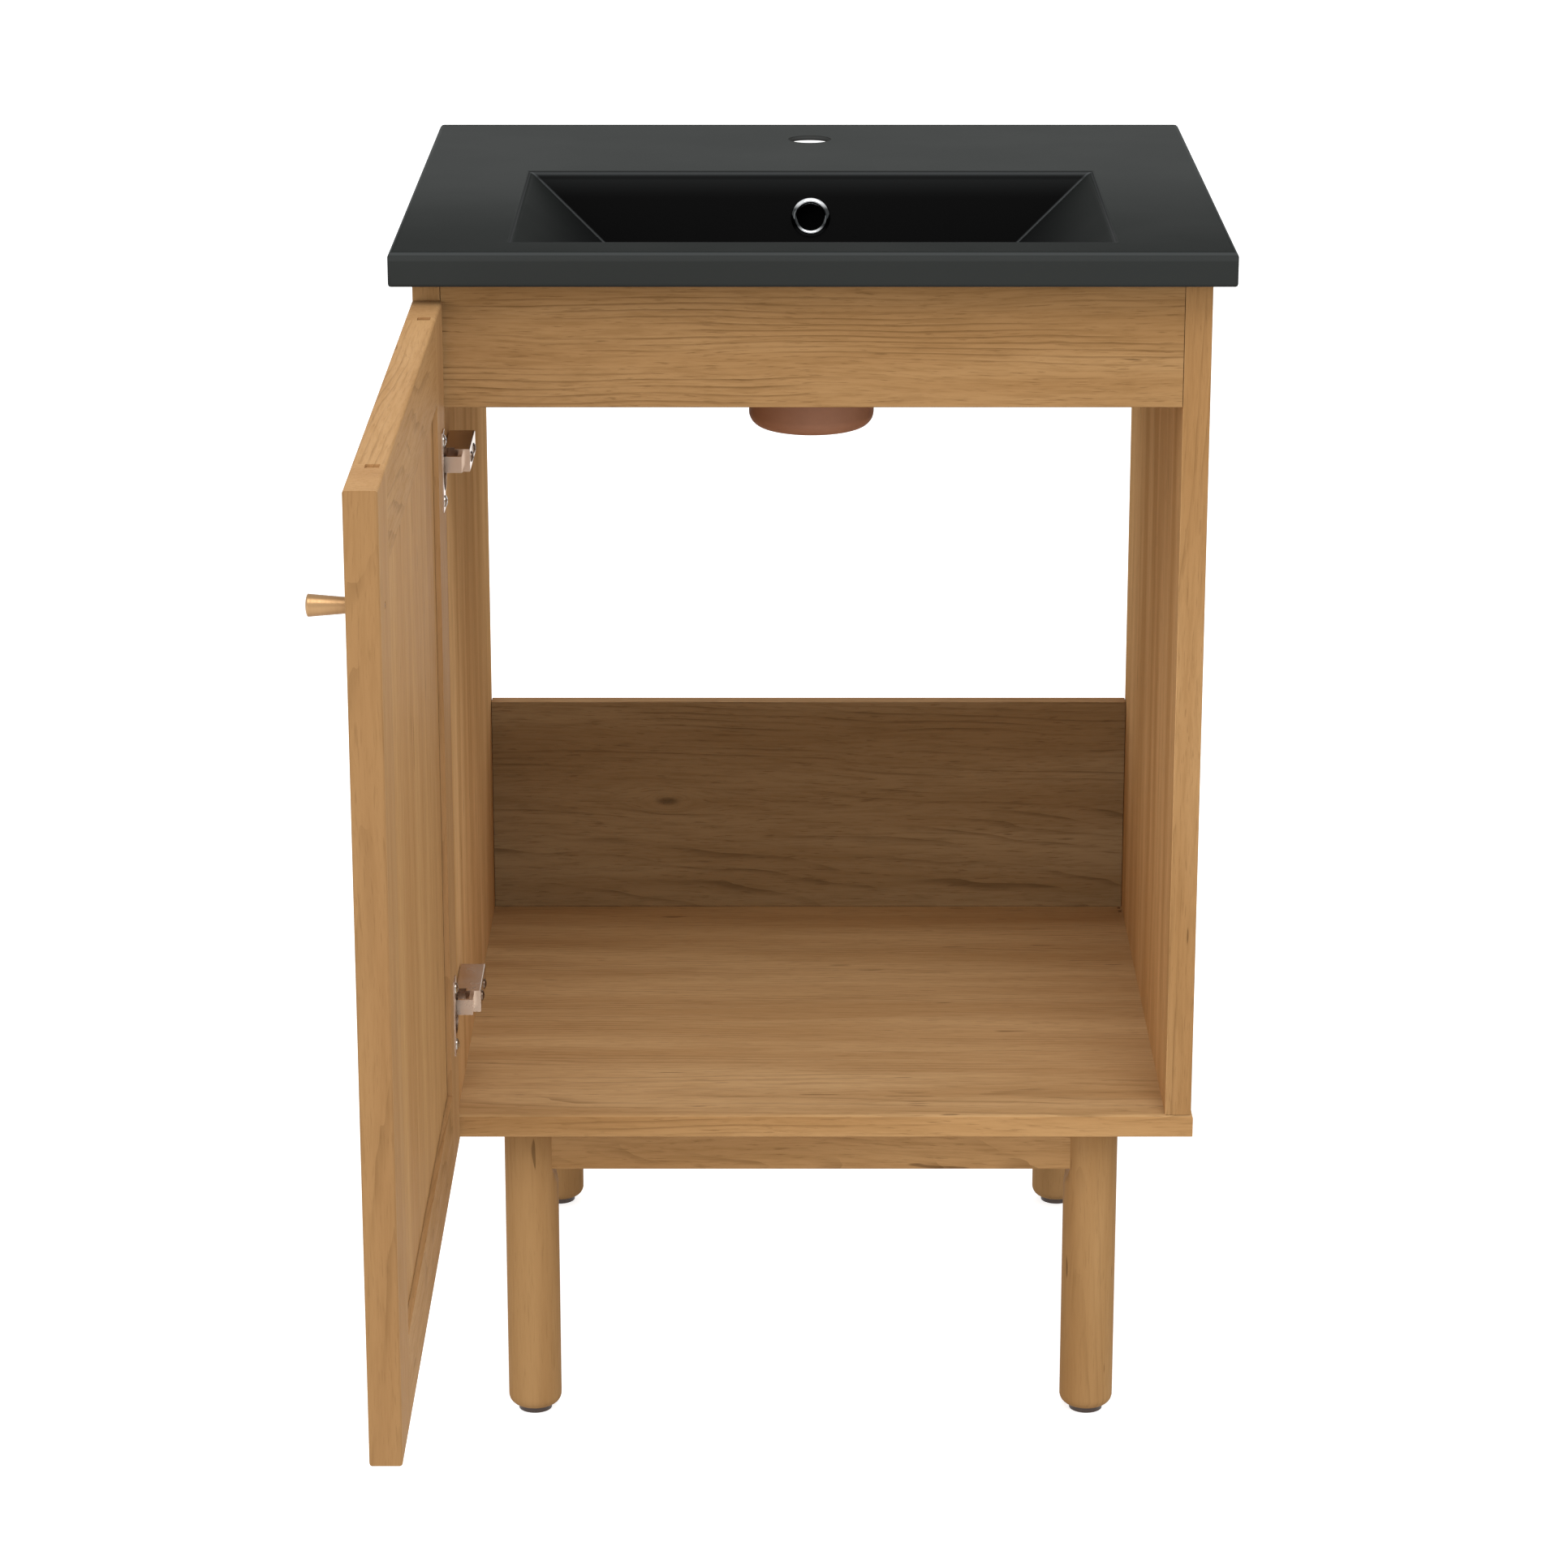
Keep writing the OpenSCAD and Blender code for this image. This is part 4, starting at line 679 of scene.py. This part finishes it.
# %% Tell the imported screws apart
def islands(mesh):
    """The separate shells of a bmesh, each as a list of its points."""
    seen, shells = set(), []
    for start in mesh.verts:
        stack, shell = [start], []
        while stack:
            vert = stack.pop()
            if vert not in seen:
                seen.add(vert)
                shell.append(vert.co.copy())
                stack.extend(edge.other_vert(vert) for edge in vert.link_edges)
        if shell:
            shells.append(shell)
    return shells


# %% Measure a packed screw
HEAD_EDGE = 0.95  # points farther out than this share of the radius are on the head's edge
SHANK_CLEAR = 0.3 * MM  # points farther than this below the head are on the shank


def measured_screw(shell):
    """Finds a round part's axis, the place under its head, and its four sizes."""
    low = Vector(min(p[i] for p in shell) for i in range(3))
    high = Vector(max(p[i] for p in shell) for i in range(3))
    size, middle = high - low, (low + high) / 2
    # The axis is the direction whose two neighbours are equally wide
    main = min(range(3), key=lambda i: abs(size[(i + 1) % 3] - size[(i + 2) % 3]))
    head_radius = size[(main + 1) % 3] / 2

    def off_axis(point):
        return math.hypot(*(point[i] - middle[i] for i in range(3) if i != main))

    wide = [p[main] for p in shell if off_axis(p) > HEAD_EDGE * head_radius]
    side = 1 if sum(wide) / len(wide) > middle[main] else -1
    under_head = min(wide) if side > 0 else max(wide)
    tip = low[main] if side > 0 else high[main]
    crown = high[main] if side > 0 else low[main]
    shank = [off_axis(p) for p in shell if (under_head - p[main]) * side > SHANK_CLEAR]
    facing = Vector((0, 0, 0))
    facing[main] = side
    place = middle.copy()
    place[main] = under_head
    return place, facing, {
        "Head radius": head_radius, "Head height": abs(crown - under_head),
        "Shank radius": max(shank, default=head_radius / 2), "Shank length": abs(under_head - tip)}


# %% The head of a screw, in nodes
DOME_DROP = -0.7  # at its edge the head is 70 % of its height lower than in its middle


def where(tree):
    """The X, Y and Z of each point."""
    position = add_node(tree, "GeometryNodeInputPosition")
    return add_node(tree, "ShaderNodeSeparateXYZ", (position,)).outputs


def domed_head(tree, given, half_head):
    """A low dome that stands on zero."""
    plain = add_node(tree, "GeometryNodeMeshCylinder", {
        "Vertices": 40, "Side Segments": 1, "Fill Segments": 6, "Radius": given["Head radius"],
        "Depth": given["Head height"]}, fill_type="TRIANGLE_FAN")
    # Each point of the head's top drops with the square of its distance from the axis
    here = where(tree)
    squares = [add_node(tree, MATH, (size, size), operation="MULTIPLY")
               for size in (here["X"], here["Y"], given["Head radius"])]
    share = add_node(tree, MATH, (squares[0], squares[1]), operation="ADD")
    share = add_node(tree, MATH, (share, squares[2]), operation="DIVIDE")
    drop = add_node(tree, MATH, (share, given["Head height"]), operation="MULTIPLY")
    drop = add_node(tree, MATH, (drop, DOME_DROP), operation="MULTIPLY")
    domed = add_node(tree, "GeometryNodeSetPosition", {
        "Geometry": plain, "Offset": add_node(tree, "ShaderNodeCombineXYZ", {"Z": drop}),
        "Selection": add_node(tree, MATH, (here["Z"], 0.0), operation="GREATER_THAN")})
    return add_node(tree, "GeometryNodeTransform", {
        "Geometry": domed, "Translation": add_node(tree, "ShaderNodeCombineXYZ", {"Z": half_head})})


# %% The whole blank, in nodes
def screw_blank(tree, given):
    """A head above zero and a shank below it that reaches halfway up into the head."""
    half_head = add_node(tree, MATH, (given["Head height"], 0.5), operation="MULTIPLY")
    head = domed_head(tree, given, half_head)
    rod_long = add_node(tree, MATH, (given["Shank length"], half_head), operation="ADD")
    rod = add_node(tree, "GeometryNodeMeshCylinder", {
        "Vertices": 24, "Radius": given["Shank radius"], "Depth": rod_long})
    sink = add_node(tree, MATH, (rod_long, 0.5), operation="MULTIPLY")
    sink = add_node(tree, MATH, (sink, given["Shank length"]), operation="SUBTRACT")
    shank = add_node(tree, "GeometryNodeTransform", {
        "Geometry": rod, "Translation": add_node(tree, "ShaderNodeCombineXYZ", {"Z": sink})})
    body = add_node(tree, "GeometryNodeMeshBoolean", operation="UNION", solver="MANIFOLD")
    for part in (head, shank):
        feed(body, {"Mesh 2": part})
    return body


# %% The cross recess, in nodes
def with_cross(tree, given, body):
    """Cuts the cross recess: two bars sunk halfway into the head."""
    arm = add_node(tree, MATH, (given["Head radius"], 1.1), operation="MULTIPLY")
    crown = add_node(tree, "ShaderNodeCombineXYZ", {"Z": given["Head height"]})
    cross = add_node(tree, "GeometryNodeMeshBoolean", {"Mesh 1": body}, operation="DIFFERENCE",
                     solver="MANIFOLD")
    for x, y in ((arm, given["Recess width"]), (given["Recess width"], arm)):
        size = add_node(tree, "ShaderNodeCombineXYZ", (x, y, given["Head height"]))
        bar = add_node(tree, "GeometryNodeMeshCube", {"Size": size})
        feed(cross, {"Mesh 2": add_node(tree, "GeometryNodeTransform", {
            "Geometry": bar, "Translation": crown})})
    return cross


# %% The start and the end of a tree
def new_tree(name, places, sizes, extras, result):
    """Starts a tree with named inputs, and returns it with those inputs."""
    tree = bpy.data.node_groups.new(name, "GeometryNodeTree")
    sockets = [(places, "Geometry")] + [(size, "Float") for size in sizes] + extras
    for label, kind in sockets:
        tree.interface.new_socket(label, in_out="INPUT", socket_type="NodeSocket" + kind)
    tree.interface.new_socket(result, in_out="OUTPUT", socket_type="NodeSocketGeometry")
    return tree, add_node(tree, "NodeGroupInput").outputs


def set_on_points(tree, points, instance, rotation, material):
    """Ends a tree: one real copy on every point, turned and in its material."""
    placed = add_node(tree, "GeometryNodeInstanceOnPoints", {
        "Points": points, "Instance": instance, "Rotation": rotation})
    real = add_node(tree, "GeometryNodeRealizeInstances", (placed,))
    dressed = add_node(tree, "GeometryNodeSetMaterial", {"Geometry": real, "Material": material})
    add_node(tree, "NodeGroupOutput", (dressed,))


# %% The screw tree
def screw_tree():
    tree, given = new_tree(
        "round_head_screws", "Places",
        ("Head radius", "Head height", "Shank radius", "Shank length", "Recess width"),
        [("Seed", "Int"), ("Finish", "Material")], "Screws")
    screw = with_cross(tree, given, screw_blank(tree, given))
    facing = add_node(tree, "GeometryNodeInputNamedAttribute", {"Name": "facing"},
                      data_type="FLOAT_VECTOR")
    upright = add_node(tree, "FunctionNodeAlignRotationToVector", {"Vector": facing}, axis="Z")
    twist = add_node(tree, "FunctionNodeRandomValue", {"Seed": given["Seed"]}, data_type="FLOAT")
    twist = add_node(tree, "ShaderNodeCombineXYZ", {"Z": twist})
    twist = add_node(tree, "FunctionNodeEulerToRotation", (twist,))
    turned = add_node(tree, "FunctionNodeRotateRotation", (upright, twist),
                      rotation_space="LOCAL")
    set_on_points(tree, given["Places"], screw, turned, given["Finish"])
    return tree


screws = screw_tree()
print("screw tree nodes:", len(screws.nodes))


# %% Bake a tree
def bake_tree(name, tree, places, attribute, values):
    """Runs a tree on points that carry one attribute, and returns the result as a bmesh."""
    points = bpy.data.meshes.new(name + "_places")
    points.from_pydata([place for place, _ in places], [], [])
    kind, field = ("FLOAT_VECTOR", "vector") if attribute == "facing" else ("FLOAT", "value")
    stored = points.attributes.new(attribute, kind, "POINT")
    for i, (_, value) in enumerate(places):
        setattr(stored.data[i], field, value)
    carrier = bpy.data.objects.new(name + "_places", points)
    bpy.context.scene.collection.objects.link(carrier)
    modifier = carrier.modifiers.new(name, "NODES")
    modifier.node_group = tree
    socket_of = {item.name: item.identifier for item in tree.interface.items_tree}
    for socket, value in values.items():
        modifier[socket_of[socket]] = value
    baked = bpy.data.meshes.new_from_object(
        carrier.evaluated_get(bpy.context.evaluated_depsgraph_get()))
    bpy.data.objects.remove(carrier)
    mesh = bmesh.new()
    mesh.from_mesh(baked)
    bmesh.ops.remove_doubles(mesh, verts=mesh.verts, dist=WELD_WITHIN)
    return mesh


# %% Set the screws
SCREW_SETS = ["cup_screws", "mounting_screws", "adjusting_screws", "side_screws",
              "plate_wood_screws", "apron_screws", "knob_screw"]
RECESS_SHARE = 0.26  # width of a cross arm as a share of the head's radius


def set_screws(node, seed):
    found = [measured_screw(shell) for shell in islands(welded_copy(node))]
    sizes = found[0][2]
    print(node, "count:", len(found), {key: round(v / MM, 2) for key, v in sizes.items()})
    finish = nodes[node].data.materials[0]
    recess = RECESS_SHARE * sizes["Head radius"]
    mesh = bake_tree("cross_head_" + node, screws, [(place, facing) for place, facing, _ in found],
                     "facing", sizes | {"Recess width": recess, "Seed": seed, "Finish": finish})
    finished("cross_head_" + node, mesh, [node], [finish])


for seed, node in enumerate(SCREW_SETS):
    set_screws(node, seed)

# %% [markdown]
# ## Turned legs
# Each leg is a round bar of oak with a rounded foot and, near its top, two flats where the
# aprons meet it. Its whole shape follows from a few sizes, so it is a rule for Geometry Nodes:
# a cylinder whose rows crowd towards the foot, a radius that shrinks along a quarter circle,
# and two cutters for the flats. One leg is turned a quarter further at each corner.

# %% A turned bar, in nodes
def turned_bar(tree, given):
    """A round bar that stands on zero, with a rounded foot."""
    here = where(tree)
    bar = add_node(tree, "GeometryNodeMeshCylinder", {
        "Vertices": 96, "Side Segments": 26, "Radius": given["Radius"],
        "Depth": given["Length"]})
    # Height over the foot from 0 to 1, cubed, so that the rows crowd where the curve is
    share = add_node(tree, MATH, (here["Z"], given["Length"]), operation="DIVIDE")
    share = add_node(tree, MATH, (share, 0.5), operation="ADD")
    crowded = add_node(tree, MATH, (share, 3.0), operation="POWER")
    height = add_node(tree, MATH, (crowded, given["Length"]), operation="MULTIPLY")
    # Within the rounding the radius follows a quarter circle
    rounding = given["Foot rounding"]
    below = add_node(tree, MATH, (rounding, height), operation="SUBTRACT")
    below = add_node(tree, MATH, (below, 0.0), operation="MAXIMUM")
    squares = [add_node(tree, MATH, (size, size), operation="MULTIPLY")
               for size in (rounding, below)]
    across = add_node(tree, MATH, squares, operation="SUBTRACT")
    across = add_node(tree, MATH, (across,), operation="SQRT")
    lost = add_node(tree, MATH, (rounding, across), operation="SUBTRACT")
    lost = add_node(tree, MATH, (lost, given["Radius"]), operation="DIVIDE")
    shrink = add_node(tree, MATH, (1.0, lost), operation="SUBTRACT")
    x, y = (add_node(tree, MATH, (here[axis], shrink), operation="MULTIPLY") for axis in "XY")
    return add_node(tree, "GeometryNodeSetPosition", {
        "Geometry": bar, "Position": add_node(tree, "ShaderNodeCombineXYZ", (x, y, height))})


# %% Two flats, in nodes
CUTTER = Vector((0.02, 0.06, 0.10))  # a block that is larger than what a flat takes off


def with_flats(tree, given, bar):
    """Cuts two flats: a block beyond each, its lower face sloped for the shoulder."""
    here = where(tree)
    block = add_node(tree, "GeometryNodeMeshCube", {"Size": CUTTER})
    out = add_node(tree, MATH, (given["Flat distance"], CUTTER.x / 2), operation="ADD")
    up = add_node(tree, MATH, (given["Flat height"], CUTTER.z / 2), operation="ADD")
    moved = add_node(tree, "GeometryNodeTransform", {
        "Geometry": block, "Translation": add_node(tree, "ShaderNodeCombineXYZ", {"X": out, "Z": up})})
    run = add_node(tree, MATH, (given["Flat distance"], here["X"]), operation="SUBTRACT")
    drop = add_node(tree, MATH, (run, given["Slope"]), operation="MULTIPLY")
    above = add_node(tree, MATH, (given["Flat height"], CUTTER.z / 10), operation="ADD")
    cutter = add_node(tree, "GeometryNodeSetPosition", {
        "Geometry": moved, "Offset": add_node(tree, "ShaderNodeCombineXYZ", {"Z": drop}),
        "Selection": add_node(tree, MATH, (here["Z"], above), operation="LESS_THAN")})
    other = add_node(tree, "GeometryNodeTransform", {
        "Geometry": cutter, "Rotation": (0, 0, QUARTER_TURN)})
    leg = add_node(tree, "GeometryNodeMeshBoolean", {"Mesh 1": bar}, operation="DIFFERENCE",
                   solver="MANIFOLD")
    for part in (cutter, other):
        feed(leg, {"Mesh 2": part})
    return leg


# %% The leg tree
def leg_tree():
    tree, given = new_tree(
        "turned_legs", "Corners",
        ("Radius", "Length", "Foot rounding", "Flat distance", "Flat height", "Slope"),
        [("Wood", "Material")], "Legs")
    leg = with_flats(tree, given, turned_bar(tree, given))
    quarter = add_node(tree, "GeometryNodeInputNamedAttribute", {"Name": "turn"},
                       data_type="FLOAT")
    spin = add_node(tree, "ShaderNodeCombineXYZ", {"Z": quarter})
    spin = add_node(tree, "FunctionNodeEulerToRotation", (spin,))
    set_on_points(tree, given["Corners"], leg, spin, given["Wood"])
    return tree


legs_rule = leg_tree()
print("leg tree nodes:", len(legs_rule.nodes))

# %% Turn the four legs
LEGS = ["leg_front_left", "leg_front_right", "leg_rear_right", "leg_rear_left"]
LEG_RADIUS, FOOT_ROUNDING = 20.8 * MM, 8 * MM
FLAT_DISTANCE, FLAT_HEIGHT = 16.5 * MM, 202.5 * MM  # from the axis, and over the floor
SHOULDER_SLOPE = 3.72  # the shoulder under a flat falls this much for 1 outward
leg_low, leg_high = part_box(LEGS[0])
# The flats take nothing off the leg's outer sides, so the axis is one radius in from them
corners = []
for i, node in enumerate(LEGS):
    low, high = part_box(node)
    x = low.x + LEG_RADIUS if node.endswith("left") else high.x - LEG_RADIUS
    y = low.y + LEG_RADIUS if node.startswith("leg_front") else high.y - LEG_RADIUS
    corners.append((Vector((x, y, low.z)), i * QUARTER_TURN))
# The legs' tint is partly painted shade: it darkens them to make up for the light they get
legs_wood = oak("satin_lacquered_oak_legs", "Z", (0.47, 0.12, 0.11), strength=0.45,
                tint=(0.88, 0.87, 0.83))
legs = bake_tree("turned_oak_legs", legs_rule, corners, "turn", {
    "Radius": LEG_RADIUS, "Length": leg_high.z - leg_low.z, "Foot rounding": FOOT_ROUNDING,
    "Flat distance": FLAT_DISTANCE, "Flat height": FLAT_HEIGHT, "Slope": SHOULDER_SLOPE,
    "Wood": legs_wood})
finished("turned_oak_legs", legs, LEGS, [legs_wood])
print("leg corners:", [[round(c, 4) for c in place] for place, _ in corners])

# %% [markdown]
# ## Hinges
# The hinge arms, cups and mounting plates are steel pressings. A pressing never has a sharp
# edge, and its small round edges are what shows it as metal: each catches a thin highlight.
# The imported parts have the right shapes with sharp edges, so copies of them are eased.

# %% Ease the pressings
PRESSED_EDGE = math.radians(40)
EASED = {"hinge_arm": 0.3 * MM, "hinge_cup": 0.25 * MM, "mounting_plate": 0.25 * MM}


def ease(node, size):
    mesh = welded_copy(node)
    sharp = [edge for edge in mesh.edges if len(edge.link_faces) == 2
             and edge.calc_face_angle(0.0) > PRESSED_EDGE and edge.calc_length() > 0.8 * size]
    bmesh.ops.bevel(mesh, geom=sharp, offset=size, segments=2, profile=0.5, affect="EDGES",
                    clamp_overlap=True)
    finished("pressed_" + node, mesh, [node], [metal["warm_nickel_plate"]])


for level in ("upper", "lower"):
    for part, size in EASED.items():
        ease(part + "_" + level, size)

# %% [markdown]
# ## Floor, light and camera
# The photograph has a plain white ground. The world is white to the camera and to
# reflections, and a little less to everything else. The floor shows white too and keeps the
# contact shadow under the feet. Two large soft lamps, one overhead and a weaker one low at the
# front left, give the even studio light.

# %% White surroundings
WHITE = (1, 1, 1, 1)
AMBIENT = 0.93  # what the world gives to the rays that light the object


def seen_directly(tree):
    """1 for rays that show the background itself: camera, mirror and see-through rays."""
    path = add_node(tree, "ShaderNodeLightPath").outputs
    seen = add_node(tree, MATH, (path["Is Camera Ray"], path["Is Glossy Ray"]),
                    operation="MAXIMUM")
    return add_node(tree, MATH, (seen, path["Is Transmission Ray"]), operation="MAXIMUM")


scene = bpy.context.scene
scene.world = bpy.data.worlds.new("studio_surroundings")
scene.world.use_nodes = True
tree = scene.world.node_tree
feed(tree.nodes["Background"], {"Color": WHITE, "Strength": add_node(tree, RAMP, {
    "Value": seen_directly(tree), "To Min": AMBIENT, "To Max": 1.0})})
print("world nodes:", len(tree.nodes))

# %% The floor
FLOOR_HALF = 14.0
FLOOR_GLOW = 0.78  # lifts the lit floor to white where it is seen
floor_paint, tree, shader = new_material(
    "white_floor_paint", Base_Color=linear("#CFCFCF"), Roughness=0.9, Emission_Color=WHITE)
feed(shader, {"Emission Strength": add_node(
    tree, MATH, (seen_directly(tree), FLOOR_GLOW), operation="MULTIPLY")})
plane = bmesh.new()
bmesh.ops.create_grid(plane, x_segments=1, y_segments=1, size=FLOOR_HALF)
floor_data = bpy.data.meshes.new("studio_floor")
plane.to_mesh(floor_data)
plane.free()
floor = bpy.data.objects.new("studio_floor", floor_data)
scene.collection.objects.link(floor)
floor_data.materials.append(floor_paint)

# %% Soft lamps
LAMPS = {  # name: place, aim, size, power in watts
    "overhead_softbox": ((0.4, -3.8, 6.4), (0.0, 0.1, 0.5), 4.0, 190),
    "front_left_softbox": ((-2.8, -6.4, 1.6), (0.1, 0.1, 0.5), 3.0, 84),
}
for name, (place, aim, size, power) in LAMPS.items():
    lamp = bpy.data.lights.new(name, "AREA")
    lamp.shape, lamp.size, lamp.energy = "SQUARE", size, power
    lamp_object = bpy.data.objects.new(name, lamp)
    lamp_object.location = place
    lamp_object.rotation_euler = (Vector(aim) - Vector(place)).to_track_quat("-Z", "Y").to_euler()
    scene.collection.objects.link(lamp_object)
print("lamps:", len(LAMPS))

# %% Camera
PHOTO_WIDTH, FOCAL_PIXELS = 1932, 5870  # both in pixels
CAMERA_PLACE, LOOKS_DOWN = (-0.021, -3.392, 1.600), math.radians(17.38)
camera_data = bpy.data.cameras.new("studio_camera")
camera_data.sensor_width = 36.0
camera_data.lens = camera_data.sensor_width * FOCAL_PIXELS / PHOTO_WIDTH
camera = bpy.data.objects.new("studio_camera", camera_data)
camera.location = CAMERA_PLACE
camera.rotation_euler = (QUARTER_TURN - LOOKS_DOWN, 0, 0)
scene.collection.objects.link(camera)
scene.camera = camera
scene.view_settings.view_transform = "Standard"
print("lens:", round(camera_data.lens, 1), "mm")
